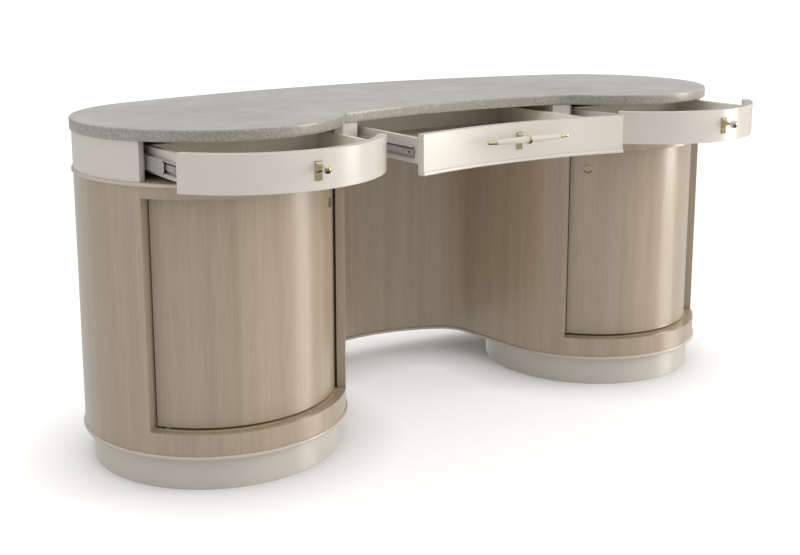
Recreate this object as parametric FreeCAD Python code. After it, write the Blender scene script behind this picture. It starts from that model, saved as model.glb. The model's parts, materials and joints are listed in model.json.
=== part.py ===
import FreeCAD, Part
import math
import os

from FreeCAD import Vector

# Vanity desk with a kidney-shaped stone top on two round pedestals and a kneehole between them.
# Millimetres. X runs along the desk, the front faces -Y, Z is up from the floor.
# The plan is drawn with Y = 0 on the line through both pedestal axes and X = 0 on the mirror plane.

# Plan of the stone top
DRUM_X = 575.0               # pedestal axis, from the mirror plane
TOP_R = 300.0                # round lobe of the stone above each pedestal
BACK_BOW = 80.0              # bowed back's middle behind the rear of the lobes
HOLLOW_SAG = 45.9            # hollow front's middle behind its ends at the lobes
OPENING_ANGLE = 54.1         # half angle of the door and drawer openings, seen from the pedestal axis
FACE_SET = 4.0               # lacquered and veneered faces stand back from the stone edge
STONE_ARRIS = 3.0            # eased upper edge of the stone

# Kneehole plan
KNEE_LEAVE_ANGLE = 85.0      # where the side wall leaves the pedestal's round, from the front
KNEE_CORNER_R = 95.0
KNEE_BACK_R = 450.0
BACK_DEPTH = 102.0           # kneehole's back in front of the stone's rear edge

# Heights, stacked from the floor
PLINTH_H = 71.0
BEAD_H = 8.0
SKIN_H = 566.0
SILL_H = 47.0
HEAD_H = 24.0
APRON_H = 84.0
STONE_T = 25.0

# Boards
SKIN_T = 20.0                # bent panels, apron and rails
BOARD_T = 18.0               # flat carcass boards
JAMB_W = 31.0                # jamb stile, along the round
POST_W = 42.0                # divider post, across its face
POST_DEPTH = 36.0            # divider post behind the corner of the stone
BEAD_PROUD = 4.0             # mouldings in front of the panels
BEAD_ROUND_SHARE = 0.45      # nose radius as a share of the moulding height
PARTITION_X_SHARE = 1.08     # partition's inner side as a share of the kneehole corner's centre
SHELF_HEIGHT_SHARE = 0.5     # shelf's underside as a share of the door opening
SHELF_PLAY = 1.0
PEG_R = 2.5
PEG_L = 12.0
PEG_ANGLES = (75.0, 148.0, -70.0)
PEG_BACK_SHARE = 0.5         # fourth peg, along the partition

# Plinths and levelling feet
PLINTH_SET = 16.0            # plinth behind the panel face
PLINTH_T = 18.0
FOOT_R = 20.0
FOOT_H = 8.0
FOOT_STEM_R = 5.0
FOOT_EDGE = 6.0              # foot from the plinth's inner wall
FOOT_COUNT = 4

# Doors
DOOR_T = 22.0
DOOR_BEHIND = 1.0            # door face behind the inner side of the frame
DOOR_GAP = 3.5
FRAME_BEHIND = 3.0           # inner side of the frame behind the inner side of the door
HINGE_INSET = 25.0           # pivot from the jamb, along the round
PIN_R = 3.0
PIN_L = 14.0
PIN_PLAY = 0.05
BUSH_R = 5.0
BUSH_PLAY = 0.1
HINGE_PLATE_T = 2.0
HINGE_PLATE_R = 8.0
PULL_R = 12.5
PULL_T = 5.0
PULL_DISH_SHARE = 0.5        # depth of the dish as a share of the pull's thickness
PULL_RIM_SHARE = 0.2         # width of the rim as a share of the pull's radius
PULL_DROP = 48.0             # pull's centre below the door's top
PULL_INSET = 42.0            # pull's centre from the free edge, along the round
CATCH_W = 40.0
CATCH_T = 12.0
CATCH_H = 40.0
CATCH_INSET = 40.0           # catch's centre from the free edge, along the round
CATCH_NIB_R = 4.0
CATCH_NIB_GAP = 0.4

# Drawers
FRONT_T = 20.0
FRONT_GAP = 3.0              # between a drawer front and its jambs
FRONT_TOP_GAP = 2.0
FRONT_LOW_GAP = 4.0
LIP_H = 8.0                  # moulded lip below the middle drawer front
LIP_LOW = 5.0                # lip's underside below the top of the upper moulding
BOX_T = 12.0
BOX_TOP_DROP = 13.0          # drawer sides below the top of the front
BOX_LOW_RISE = 10.0          # drawer sides above the bottom of the front
BOTTOM_T = 6.0
BOTTOM_RISE = 4.0
GLUE = 0.1                   # glue line between a drawer box and its curved front
LEFT_OPEN = 172.0            # how far each drawer stands open
CENTRE_OPEN = 250.0
RIGHT_OPEN = 166.0

# Drawer slides
SLIDE_T = 12.7
SLIDE_H = 32.0
SLIDE_METAL = 1.2
SLIDE_PLAY = 0.4
SLIDE_RISE = 24.0            # slide's middle above the drawer side's lower edge
SLIDE_SETBACK = 26.0         # slide's end behind the drawer front
SIDE_SLIDE_L = 200.0
CENTRE_BACK_CLEAR = 49.2      # middle drawer's slides in front of the back apron
JAMB_CLEAR = 3.0             # runner side of the slide inside the apron jamb
RUNNER_CLEAR = 2.0           # runner boards inside the apron

# Knobs and handle
PLATE_W = 16.0
PLATE_H = 39.0
PLATE_T = 2.0
PLATE_EDGE = 0.6
POST_RISE = 6.5              # post above the middle of its plate
FLARE_W = 15.0               # four-sided foot of the post
FLARE_H = 20.0
FLARE_L = 17.0
NECK_R = 2.8
FLARE_SHARES = ((0.0, 1.0), (0.3, 0.5), (0.65, 0.17), (1.0, 0.0))   # along the flare, width still to lose
KNOB_R = 9.5
KNOB_REACH = 31.0
CAP_SHARE = 0.55             # cap's joint in front of the ball's centre, as a share of its radius
BAR_L = 232.0
BAR_MID_R = 8.0
BAR_TIP_R = 3.5
BAR_FULL_SHARE = 0.6         # fullness of the taper at half its length
BAR_REACH = 33.0
TIP_L = 24.6
TIP_ROUND_SHARE = 0.6        # rounding of the bar's ends as a share of their radius
RING_R = 10.0
RING_L = 7.5
RING_BEVEL = 1.5
RING_PLAY = 0.05
SEAT_GAP = 0.05              # hardware on a curved face

OVERRUN = 5.0                # cutting shapes reach this far past what they cut

# Levels worked out from the heights
Z_SKIN = PLINTH_H + BEAD_H
Z_OPENING = Z_SKIN + SILL_H
Z_UPPER_BEAD = Z_SKIN + SKIN_H
Z_HEAD = Z_UPPER_BEAD - HEAD_H
Z_APRON = Z_UPPER_BEAD + BEAD_H
Z_STONE = Z_APRON + APRON_H
Z_TOP = Z_STONE + STONE_T
Z_FRONT_LOW = Z_APRON + FRONT_LOW_GAP
Z_FRONT_TOP = Z_STONE - FRONT_TOP_GAP
Z_BOX_LOW = Z_FRONT_LOW + BOX_LOW_RISE
Z_BOX_TOP = Z_FRONT_TOP - BOX_TOP_DROP
Z_SLIDE = Z_BOX_LOW + SLIDE_RISE
Z_PLATE = (Z_FRONT_LOW + Z_FRONT_TOP) / 2
Z_SHELF = Z_OPENING + SHELF_HEIGHT_SHARE * (Z_HEAD - Z_OPENING)

# Circles of the plan
FACE_R = TOP_R - FACE_SET
INNER_R = FACE_R - SKIN_T
TOP_BACK_Y = TOP_R + BACK_BOW
BACK_CY = (BACK_BOW ** 2 - DRUM_X ** 2) / (2 * BACK_BOW)
BACK_R = TOP_BACK_Y - BACK_CY
BACK_ANGLE = 180 - math.degrees(math.asin(DRUM_X / (BACK_R - TOP_R)))
KINK_X = DRUM_X - TOP_R * math.sin(math.radians(OPENING_ANGLE))
KINK_Y = -TOP_R * math.cos(math.radians(OPENING_ANGLE))
HOLLOW_R = (KINK_X ** 2 + HOLLOW_SAG ** 2) / (2 * HOLLOW_SAG)
HOLLOW_CY = KINK_Y + HOLLOW_SAG - HOLLOW_R
KNEE_BACK_Y = TOP_BACK_Y - BACK_DEPTH
DOOR_R = INNER_R - DOOR_BEHIND
DOOR_IN_R = DOOR_R - DOOR_T
DOOR_MID_R = DOOR_R - DOOR_T / 2
FRAME_IN_R = DOOR_IN_R - FRAME_BEHIND
DOOR_HALF = OPENING_ANGLE - math.degrees(DOOR_GAP / DOOR_MID_R)
JAMB_ANGLE = OPENING_ANGLE + math.degrees(JAMB_W / INNER_R)
HINGE_ANGLE = OPENING_ANGLE - math.degrees(HINGE_INSET / DOOR_MID_R)
POST_IN_X = KINK_X - POST_W
POST_BACK_Y = KINK_Y + POST_DEPTH

# Drawer boxes and slides in plan
JAMB_HALF = INNER_R * math.sin(math.radians(OPENING_ANGLE))
SIDE_BOX_HALF = JAMB_HALF - JAMB_CLEAR - SLIDE_T
CENTRE_HALF = POST_IN_X - FRONT_GAP
CENTRE_BOX_HALF = CENTRE_HALF - SLIDE_T
CENTRE_FACE_R = HOLLOW_R + FACE_SET
CENTRE_INNER_R = CENTRE_FACE_R + FRONT_T
CENTRE_FACE_Y = HOLLOW_CY + CENTRE_FACE_R
SIDE_FRONT_Y = -math.sqrt(INNER_R ** 2 - SIDE_BOX_HALF ** 2)
CENTRE_FRONT_Y = HOLLOW_CY + math.sqrt(CENTRE_INNER_R ** 2 - CENTRE_BOX_HALF ** 2)
SIDE_SLIDE_Y = SIDE_FRONT_Y + SLIDE_SETBACK
CENTRE_SLIDE_Y = CENTRE_FRONT_Y + SLIDE_SETBACK
SIDE_BACK_Y = SIDE_SLIDE_Y + SIDE_SLIDE_L
BACK_IN_R = BACK_R - FACE_SET - SKIN_T
CENTRE_BACK_Y = BACK_CY + math.sqrt(BACK_IN_R ** 2 - CENTRE_HALF ** 2) - CENTRE_BACK_CLEAR
CENTRE_SLIDE_L = CENTRE_BACK_Y - CENTRE_SLIDE_Y

# The part's origin is on the floor, below the middle of its box with the drawers standing open.
SIDE_REACH_Y = -FACE_R - max(LEFT_OPEN, RIGHT_OPEN) - KNOB_REACH - KNOB_R
CENTRE_REACH_Y = CENTRE_FACE_Y - CENTRE_OPEN - BAR_REACH - RING_R
FRAME_Y = -(TOP_BACK_Y + min(SIDE_REACH_Y, CENTRE_REACH_Y)) / 2


def at(cx, cy, radius, angle):
    """Point on a circle, its angle in degrees from the front (-Y) towards +X."""
    turn = math.radians(angle)
    return Vector(cx + radius * math.sin(turn), cy - radius * math.cos(turn), 0)


def arc(cx, cy, radius, start, end):
    middle = (start + end) / 2
    return Part.Arc(at(cx, cy, radius, start), at(cx, cy, radius, middle), at(cx, cy, radius, end)).toShape()


def line(start, end):
    return Part.LineSegment(start, end).toShape()


def arc_degrees(length, radius):
    return math.degrees(length / radius)


def prism(edges, low, high):
    """Upright solid over a closed chain of edges."""
    wire = Part.Wire(Part.__sortEdges__(edges))
    solid = Part.Face(wire).extrude(Vector(0, 0, high - low))
    solid.translate(Vector(0, 0, low))
    return solid


def block(x_low, x_high, y_low, y_high, z_low, z_high):
    corner = Vector(x_low, y_low, z_low)
    return Part.makeBox(x_high - x_low, y_high - y_low, z_high - z_low, corner)


def rod(radius, length, start, direction):
    return Part.makeCylinder(radius, length, start, direction)


def drum(cx, cy, radius, low, high):
    return rod(radius, high - low, Vector(cx, cy, low), Vector(0, 0, 1))


def sector(cx, cy, r_in, r_out, start, end, low, high):
    """Upright wall that follows a circle between two angles, its ends cut along the radius."""
    edges = [arc(cx, cy, r_out, start, end), arc(cx, cy, r_in, start, end)]
    edges.append(line(at(cx, cy, r_in, start), at(cx, cy, r_out, start)))
    edges.append(line(at(cx, cy, r_in, end), at(cx, cy, r_out, end)))
    return prism(edges, low, high)


def mirrored(shape):
    return shape.mirror(Vector(0, 0, 0), Vector(1, 0, 0))


def both(shape):
    """A piece of the right half together with its mirror image."""
    return Part.makeCompound([shape, mirrored(shape)])


def level_edges(shape, radius=None):
    """Edges that lie level, all of them or only those of one radius."""
    flat = [edge for edge in shape.Edges if edge.BoundBox.ZLength < SEAT_GAP]
    if radius is None:
        return flat
    round_edges = [edge for edge in flat if hasattr(edge.Curve, "Radius")]
    return [edge for edge in round_edges if abs(edge.Curve.Radius - radius) < SEAT_GAP]


def knee_corner():
    """Centre of the kneehole's right corner: tangent to the side wall and to the bowed back."""
    normal = at(0, 0, 1, -KNEE_LEAVE_ANGLE)
    along = Vector(normal.y, -normal.x, 0)
    start = at(DRUM_X, 0, FACE_R, -KNEE_LEAVE_ANGLE) + normal * KNEE_CORNER_R
    offset = start - Vector(0, KNEE_BACK_Y - KNEE_BACK_R, 0)
    lean = offset.dot(along)
    reach = KNEE_BACK_R - KNEE_CORNER_R
    step = -lean + math.sqrt(lean ** 2 - offset.dot(offset) + reach ** 2)
    return start + along * step


KNEE_CORNER = knee_corner()
PARTITION_X = KNEE_CORNER.x * PARTITION_X_SHARE


def knee_edges(inset):
    """Kneehole wall from the right pedestal round to the left one, moved into the desk by inset."""
    back_cy = KNEE_BACK_Y - KNEE_BACK_R
    turn = 180 - math.degrees(math.asin(KNEE_CORNER.x / (KNEE_BACK_R - KNEE_CORNER_R)))
    side = 180 - KNEE_LEAVE_ANGLE
    corner_r = KNEE_CORNER_R + inset
    right = [line(at(DRUM_X, 0, FACE_R - inset, -KNEE_LEAVE_ANGLE),
                  at(KNEE_CORNER.x, KNEE_CORNER.y, corner_r, side))]
    right.append(arc(KNEE_CORNER.x, KNEE_CORNER.y, corner_r, side, turn))
    back = arc(0, back_cy, KNEE_BACK_R + inset, turn, 360 - turn)
    return right + [back] + [mirrored(edge) for edge in right]


def base_loop(inset):
    """Closed plan of the pedestals and the back that joins them, inset from the panel faces."""
    lobe = arc(DRUM_X, 0, FACE_R - inset, -KNEE_LEAVE_ANGLE, BACK_ANGLE)
    back = arc(0, BACK_CY, BACK_R - FACE_SET - inset, BACK_ANGLE, 360 - BACK_ANGLE)
    return [lobe, back, mirrored(lobe)] + knee_edges(inset)


def kink_angles(inset):
    """Where lobe and hollow front meet: the angle on the lobe and the angle on the hollow."""
    lobe_r = TOP_R - inset
    hollow_r = HOLLOW_R + inset
    apart = math.hypot(DRUM_X, HOLLOW_CY)
    along = (lobe_r ** 2 - hollow_r ** 2 + apart ** 2) / (2 * apart)
    across = math.sqrt(lobe_r ** 2 - along ** 2)
    x = (-DRUM_X * along + HOLLOW_CY * across) / apart
    y = (HOLLOW_CY * along + DRUM_X * across) / apart
    on_lobe = math.degrees(math.atan2(x, -y))
    on_hollow = 180 - math.degrees(math.asin((DRUM_X + x) / hollow_r))
    return on_lobe, on_hollow


def top_loop(inset):
    """Closed kidney plan of the top, inset from the stone edge."""
    on_lobe, on_hollow = kink_angles(inset)
    lobe = arc(DRUM_X, 0, TOP_R - inset, on_lobe, BACK_ANGLE)
    back = arc(0, BACK_CY, BACK_R - inset, BACK_ANGLE, 360 - BACK_ANGLE)
    hollow = arc(0, HOLLOW_CY, HOLLOW_R + inset, on_hollow, 360 - on_hollow)
    return [lobe, back, mirrored(lobe), hollow]


def stone_top():
    slab = prism(top_loop(0), Z_STONE, Z_TOP)
    upper = [edge for edge in level_edges(slab) if edge.BoundBox.ZMin > Z_STONE]
    return slab.makeChamfer(STONE_ARRIS, upper)


def end_apron():
    return sector(DRUM_X, 0, INNER_R, FACE_R, OPENING_ANGLE, BACK_ANGLE, Z_APRON, Z_STONE)


def back_wall(low, high):
    outer = BACK_R - FACE_SET
    return sector(0, BACK_CY, outer - SKIN_T, outer, BACK_ANGLE, 360 - BACK_ANGLE, low, high)


def post_block(inset, low, high):
    """Block beside the middle drawer: hollow front face, radial outer side."""
    jamb = at(DRUM_X, 0, INNER_R, -OPENING_ANGLE)
    body = block(POST_IN_X, jamb.x, -TOP_R, POST_BACK_Y, low, high)
    body = body.cut(drum(0, HOLLOW_CY, HOLLOW_R + inset, low, high))
    body = body.cut(sector(DRUM_X, 0, INNER_R, TOP_R, -OPENING_ANGLE, OPENING_ANGLE, low, high))
    return body.cut(drum(DRUM_X, 0, INNER_R, low, high)).Solids[0]


def rounded_bead(wall, radius):
    return wall.makeFillet(BEAD_H * BEAD_ROUND_SHARE, level_edges(wall, radius))


def apron_bead():
    """Upper moulding: one length round each lobe, one along the back, short returns under the posts."""
    nose_r = FACE_R + BEAD_PROUD
    lobe = sector(DRUM_X, 0, INNER_R, nose_r, -OPENING_ANGLE, BACK_ANGLE, Z_UPPER_BEAD, Z_APRON)
    lobe = rounded_bead(lobe, nose_r)
    back_r = BACK_R - FACE_SET + BEAD_PROUD
    back_in = BACK_R - FACE_SET - SKIN_T
    back = sector(0, BACK_CY, back_in, back_r, BACK_ANGLE, 360 - BACK_ANGLE, Z_UPPER_BEAD, Z_APRON)
    back = rounded_bead(back, back_r)
    post = post_block(FACE_SET - BEAD_PROUD, Z_UPPER_BEAD, Z_APRON)
    return Part.makeCompound([lobe, mirrored(lobe), back, post, mirrored(post)])


def base_bead():
    nose = prism(base_loop(-BEAD_PROUD), PLINTH_H, Z_SKIN)
    nose = nose.makeFillet(BEAD_H * BEAD_ROUND_SHARE, level_edges(nose))
    return nose.cut(prism(base_loop(SKIN_T), PLINTH_H, Z_SKIN))


def end_panel():
    return sector(DRUM_X, 0, INNER_R, FACE_R, OPENING_ANGLE, BACK_ANGLE, Z_SKIN, Z_UPPER_BEAD)


def kneehole_panel():
    jamb = arc(DRUM_X, 0, FACE_R, -OPENING_ANGLE, -KNEE_LEAVE_ANGLE)
    inner = arc(DRUM_X, 0, INNER_R, -OPENING_ANGLE, -KNEE_LEAVE_ANGLE)
    end = line(at(DRUM_X, 0, FACE_R, -OPENING_ANGLE), at(DRUM_X, 0, INNER_R, -OPENING_ANGLE))
    right = [jamb, inner, end]
    edges = right + [mirrored(edge) for edge in right] + knee_edges(0) + knee_edges(SKIN_T)
    return prism(edges, Z_SKIN, Z_UPPER_BEAD)


def door_frame():
    """Head rail, sill rail and two jamb stiles of the right door."""
    head = sector(DRUM_X, 0, FRAME_IN_R, FACE_R, -OPENING_ANGLE, OPENING_ANGLE, Z_HEAD, Z_UPPER_BEAD)
    sill = sector(DRUM_X, 0, INNER_R, FACE_R, -OPENING_ANGLE, OPENING_ANGLE, Z_SKIN, Z_OPENING)
    outer = sector(DRUM_X, 0, FRAME_IN_R, INNER_R, OPENING_ANGLE, JAMB_ANGLE, Z_OPENING, Z_UPPER_BEAD)
    inner = sector(DRUM_X, 0, FRAME_IN_R, INNER_R, -JAMB_ANGLE, -OPENING_ANGLE, Z_OPENING, Z_UPPER_BEAD)
    return Part.makeCompound([head, sill, outer, inner])


def pedestal_board(inset, low, high, front_y=None):
    """Board that fills the right pedestal from its partition outwards, with a straight front if asked."""
    board = prism(base_loop(inset), low, high)
    front = -TOP_R if front_y is None else front_y
    side = PARTITION_X + BOARD_T + inset - SKIN_T
    return board.common(block(side, DRUM_X + TOP_R, front, TOP_BACK_Y, low, high)).Solids[0]


def partition():
    inside = prism(base_loop(SKIN_T), PLINTH_H + BOARD_T, Z_UPPER_BEAD)
    slab = block(PARTITION_X, PARTITION_X + BOARD_T, 0, TOP_BACK_Y, PLINTH_H, Z_UPPER_BEAD)
    return inside.common(slab).Solids[0]


def shelf():
    stile = at(DRUM_X, 0, FRAME_IN_R, JAMB_ANGLE)
    return pedestal_board(SKIN_T + SHELF_PLAY, Z_SHELF, Z_SHELF + BOARD_T, stile.y + OVERRUN)


def shelf_pegs():
    height = Z_SHELF - PEG_R
    pegs = []
    for angle in PEG_ANGLES:
        seat = at(DRUM_X, 0, INNER_R - SEAT_GAP, angle)
        seat.z = height
        pegs.append(rod(PEG_R, PEG_L, seat, at(0, 0, -1, angle)))
    near = KNEE_BACK_Y + SKIN_T
    far = TOP_BACK_Y - FACE_SET - SKIN_T
    seat = Vector(PARTITION_X + BOARD_T, near + PEG_BACK_SHARE * (far - near), height)
    pegs.append(rod(PEG_R, PEG_L, seat, Vector(1, 0, 0)))
    return pegs


def plinth():
    outer = FACE_R - PLINTH_SET
    return drum(DRUM_X, 0, outer, 0, PLINTH_H).cut(drum(DRUM_X, 0, outer - PLINTH_T, 0, PLINTH_H))


def levelling_feet():
    circle = FACE_R - PLINTH_SET - PLINTH_T - FOOT_EDGE - FOOT_R
    feet = []
    for index in range(FOOT_COUNT):
        place = at(DRUM_X, 0, circle, 360 * (index + 0.5) / FOOT_COUNT)
        foot = drum(place.x, place.y, FOOT_R, 0, FOOT_H)
        feet.append(foot.fuse(drum(place.x, place.y, FOOT_STEM_R, 0, PLINTH_H)))
    return feet


def runner_board(x_low, x_high):
    """Upright board between deck and stone, trimmed to the inside of the apron."""
    inside = prism(top_loop(FACE_SET + SKIN_T + RUNNER_CLEAR), Z_APRON, Z_STONE)
    slab = block(x_low, x_high, POST_BACK_Y, TOP_BACK_Y, Z_APRON, Z_STONE)
    return inside.common(slab).Solids[0]


def runner_boards():
    """The boards of the right half: beside the middle drawer and on both sides of the right drawer."""
    near = DRUM_X - SIDE_BOX_HALF - SLIDE_T
    far = DRUM_X + SIDE_BOX_HALF + SLIDE_T
    boards = [runner_board(CENTRE_HALF, CENTRE_HALF + BOARD_T)]
    boards.append(runner_board(near - BOARD_T, near))
    boards.append(runner_board(far, far + BOARD_T))
    return boards


def channel(y_start, length, web_x, depth, half, facing):
    """Pressed channel along Y: its web at web_x, its flanges pointing to +X or -X as facing says."""
    far_x = web_x + facing * depth
    inner_x = web_x + facing * SLIDE_METAL
    open_x = far_x + facing * OVERRUN
    y_end = y_start + length
    gap = half - SLIDE_METAL
    body = block(min(web_x, far_x), max(web_x, far_x), y_start, y_end, Z_SLIDE - half, Z_SLIDE + half)
    hollow = block(min(inner_x, open_x), max(inner_x, open_x), y_start, y_end, Z_SLIDE - gap, Z_SLIDE + gap)
    return body.cut(hollow)


def slide_members(runner_x, facing, y_start, length):
    """Fixed rail on the runner board, middle member and drawer member, nested with a running gap."""
    step = SLIDE_METAL + SLIDE_PLAY
    half = SLIDE_H / 2
    rail = channel(y_start, length, runner_x, SLIDE_T - 2 * step, half, facing)
    middle = channel(y_start, length, runner_x + facing * step, SLIDE_T - 2 * step, half - step, facing)
    drawer_x = runner_x + facing * SLIDE_T
    inner = channel(y_start, length, drawer_x, SLIDE_T - 2 * step - SLIDE_PLAY, half - 2 * step, -facing)
    return rail, middle, inner


def side_slides():
    """Members of the two slides of the right drawer, closed."""
    near = slide_members(DRUM_X - SIDE_BOX_HALF - SLIDE_T, 1, SIDE_SLIDE_Y, SIDE_SLIDE_L)
    far = slide_members(DRUM_X + SIDE_BOX_HALF + SLIDE_T, -1, SIDE_SLIDE_Y, SIDE_SLIDE_L)
    return [Part.makeCompound(pair) for pair in zip(near, far)]


def centre_slides():
    return [both(member) for member in slide_members(CENTRE_HALF, -1, CENTRE_SLIDE_Y, CENTRE_SLIDE_L)]


def side_drawer():
    """Front, sides, back and bottom of the right drawer, closed."""
    half_angle = OPENING_ANGLE - arc_degrees(FRONT_GAP, FACE_R)
    front = sector(DRUM_X, 0, FACE_R - FRONT_T, FACE_R, -half_angle, half_angle, Z_FRONT_LOW, Z_FRONT_TOP)
    round_inside = drum(DRUM_X, 0, FACE_R - FRONT_T - GLUE, 0, Z_TOP)
    inner_half = SIDE_BOX_HALF - BOX_T
    side = block(inner_half, SIDE_BOX_HALF, -TOP_R, SIDE_BACK_Y, Z_BOX_LOW, Z_BOX_TOP)
    far_side = side.translated(Vector(DRUM_X, 0, 0)).common(round_inside)
    near_side = mirrored(side).translated(Vector(DRUM_X, 0, 0)).common(round_inside)
    low = DRUM_X - inner_half
    high = DRUM_X + inner_half
    back = block(low, high, SIDE_BACK_Y - BOX_T, SIDE_BACK_Y, Z_BOX_LOW, Z_BOX_TOP)
    floor_low = Z_BOX_LOW + BOTTOM_RISE
    bottom = block(low, high, -TOP_R, SIDE_BACK_Y - BOX_T, floor_low, floor_low + BOTTOM_T)
    return front, Part.makeCompound([near_side, far_side]), back, bottom.common(round_inside)


def centre_front():
    """Hollow front with the moulded lip along its lower edge."""
    reach = 180 - 2 * math.degrees(math.asin(CENTRE_HALF / HOLLOW_R))
    lip_low = Z_APRON - LIP_LOW
    lip_high = lip_low + LIP_H
    face = sector(0, HOLLOW_CY, CENTRE_FACE_R, CENTRE_INNER_R, reach, 360 - reach, lip_low, Z_FRONT_TOP)
    lip_r = CENTRE_FACE_R - BEAD_PROUD
    lip = sector(0, HOLLOW_CY, lip_r, CENTRE_INNER_R, reach, 360 - reach, lip_low, lip_high)
    lip = lip.makeFillet(LIP_H * BEAD_ROUND_SHARE, level_edges(lip, lip_r))
    trim = block(-CENTRE_HALF, CENTRE_HALF, -DRUM_X, 0, lip_low, Z_FRONT_TOP)
    return face.fuse(lip).common(trim).Solids[0]


def centre_drawer():
    """Front, sides, back and bottom of the middle drawer, closed."""
    ahead = drum(0, HOLLOW_CY, CENTRE_INNER_R + GLUE, 0, Z_TOP)
    inner_half = CENTRE_BOX_HALF - BOX_T
    side = block(inner_half, CENTRE_BOX_HALF, -TOP_R, CENTRE_BACK_Y, Z_BOX_LOW, Z_BOX_TOP).cut(ahead)
    back = block(-inner_half, inner_half, CENTRE_BACK_Y - BOX_T, CENTRE_BACK_Y, Z_BOX_LOW, Z_BOX_TOP)
    floor_low = Z_BOX_LOW + BOTTOM_RISE
    bottom = block(-inner_half, inner_half, -TOP_R, CENTRE_BACK_Y - BOX_T, floor_low, floor_low + BOTTOM_T)
    return centre_front(), both(side), back, bottom.cut(ahead)


def spun(points, bend, axis):
    """Solid turned about an axis: a chain of points whose stretch from the second to the third is an arc."""
    first, second, third, last = points
    edges = [line(first, second), Part.Arc(second, bend, third).toShape()]
    edges += [line(third, last), line(last, first)]
    return Part.Face(Part.Wire(edges)).revolve(Vector(0, 0, 0), axis, 360)


def square_ring(half_x, half_z, y):
    corners = [(-half_x, -half_z), (half_x, -half_z), (half_x, half_z), (-half_x, half_z), (-half_x, -half_z)]
    return Part.makePolygon([Vector(x, y, z) for x, z in corners])


def flare():
    """Four-sided post that sweeps in from its foot on the plate to a slim neck."""
    rings = []
    for along, still in FLARE_SHARES:
        half_x = NECK_R + still * (FLARE_W / 2 - NECK_R)
        half_z = NECK_R + still * (FLARE_H / 2 - NECK_R)
        rings.append(square_ring(half_x, half_z, -PLATE_T - along * FLARE_L))
    return Part.makeLoft(rings, True)


def plate_and_post(length):
    """Backplate on the plane Y = 0 with a post that flares out of it and reaches length to the front."""
    plate = block(-PLATE_W / 2, PLATE_W / 2, -PLATE_T, 0, -PLATE_H / 2, PLATE_H / 2)
    rim = [edge for edge in plate.Edges if edge.BoundBox.YMax < -PLATE_T / 2]
    plate = plate.makeChamfer(PLATE_EDGE, rim)
    end_y = -PLATE_T - FLARE_L
    neck = rod(NECK_R, length + end_y, Vector(0, end_y, 0), Vector(0, -1, 0))
    post = flare().fuse(neck).translated(Vector(0, 0, POST_RISE))
    return plate.fuse(post).removeSplitter()


def knob():
    """Plate with post, ball and cap of a knob, on the plane Y = 0."""
    seat = KNOB_REACH - math.sqrt(KNOB_R ** 2 - NECK_R ** 2)
    joint = KNOB_REACH + CAP_SHARE * KNOB_R
    ball = Part.makeSphere(KNOB_R, Vector(0, -KNOB_REACH, POST_RISE))
    low = POST_RISE - KNOB_R
    high = POST_RISE + KNOB_R
    body = ball.common(block(-KNOB_R, KNOB_R, -joint, -seat, low, high))
    cap = ball.common(block(-KNOB_R, KNOB_R, -joint - KNOB_R, -joint, low, high))
    return plate_and_post(seat), body, cap


def spindle_half():
    """Right half of the handle's spindle, turned about the X axis."""
    half = BAR_L / 2
    middle_r = BAR_TIP_R + BAR_FULL_SHARE * (BAR_MID_R - BAR_TIP_R)
    points = [Vector(0, 0, 0), Vector(0, 0, BAR_MID_R), Vector(half, 0, BAR_TIP_R), Vector(half, 0, 0)]
    turned = spun(points, Vector(half / 2, 0, middle_r), Vector(1, 0, 0))
    end = [edge for edge in turned.Edges if edge.BoundBox.XMin > half - SEAT_GAP]
    return turned.makeFillet(BAR_TIP_R * TIP_ROUND_SHARE, end)


def handle():
    """Plate with post, spindle, ring and tips of the long handle, on the plane Y = 0."""
    middle = Vector(0, -BAR_REACH, POST_RISE)
    half = spindle_half()
    joint = BAR_L / 2 - TIP_L
    body = half.common(block(0, joint, -BAR_MID_R, BAR_MID_R, -BAR_MID_R, BAR_MID_R))
    tip = half.common(block(joint, BAR_L, -BAR_MID_R, BAR_MID_R, -BAR_MID_R, BAR_MID_R))
    spindle = body.fuse(mirrored(body)).removeSplitter()
    ring = rod(RING_R, RING_L, Vector(-RING_L / 2, 0, 0), Vector(1, 0, 0))
    rim = [edge for edge in ring.Edges if edge.BoundBox.XLength < SEAT_GAP]
    ring = ring.makeChamfer(RING_BEVEL, rim)
    ring = ring.cut(rod(BAR_MID_R + RING_PLAY, RING_L, Vector(-RING_L / 2, 0, 0), Vector(1, 0, 0)))
    clear = rod(RING_R + SEAT_GAP, BAR_L, Vector(-BAR_L / 2, 0, 0), Vector(1, 0, 0))
    plate = plate_and_post(BAR_REACH).cut(clear.translated(middle))
    return [plate] + [piece.translated(middle) for piece in (spindle, ring, both(tip))]


def pivot(height):
    place = at(DRUM_X, 0, DOOR_MID_R, HINGE_ANGLE)
    return Vector(place.x, place.y, height)


def door():
    low = Z_OPENING + DOOR_GAP
    high = Z_HEAD - DOOR_GAP
    panel = sector(DRUM_X, 0, DOOR_IN_R, DOOR_R, -DOOR_HALF, DOOR_HALF, low, high)
    bore = BUSH_R + BUSH_PLAY
    panel = panel.cut(rod(bore, PIN_L, pivot(low), Vector(0, 0, 1)))
    return panel.cut(rod(bore, PIN_L, pivot(high), Vector(0, 0, -1)))


def hinge_bushes():
    low = rod(BUSH_R, PIN_L, pivot(Z_OPENING + DOOR_GAP), Vector(0, 0, 1))
    high = rod(BUSH_R, PIN_L, pivot(Z_HEAD - DOOR_GAP), Vector(0, 0, -1))
    hole = rod(PIN_R + PIN_PLAY, Z_HEAD, pivot(0), Vector(0, 0, 1))
    return [low.cut(hole), high.cut(hole)]


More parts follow.
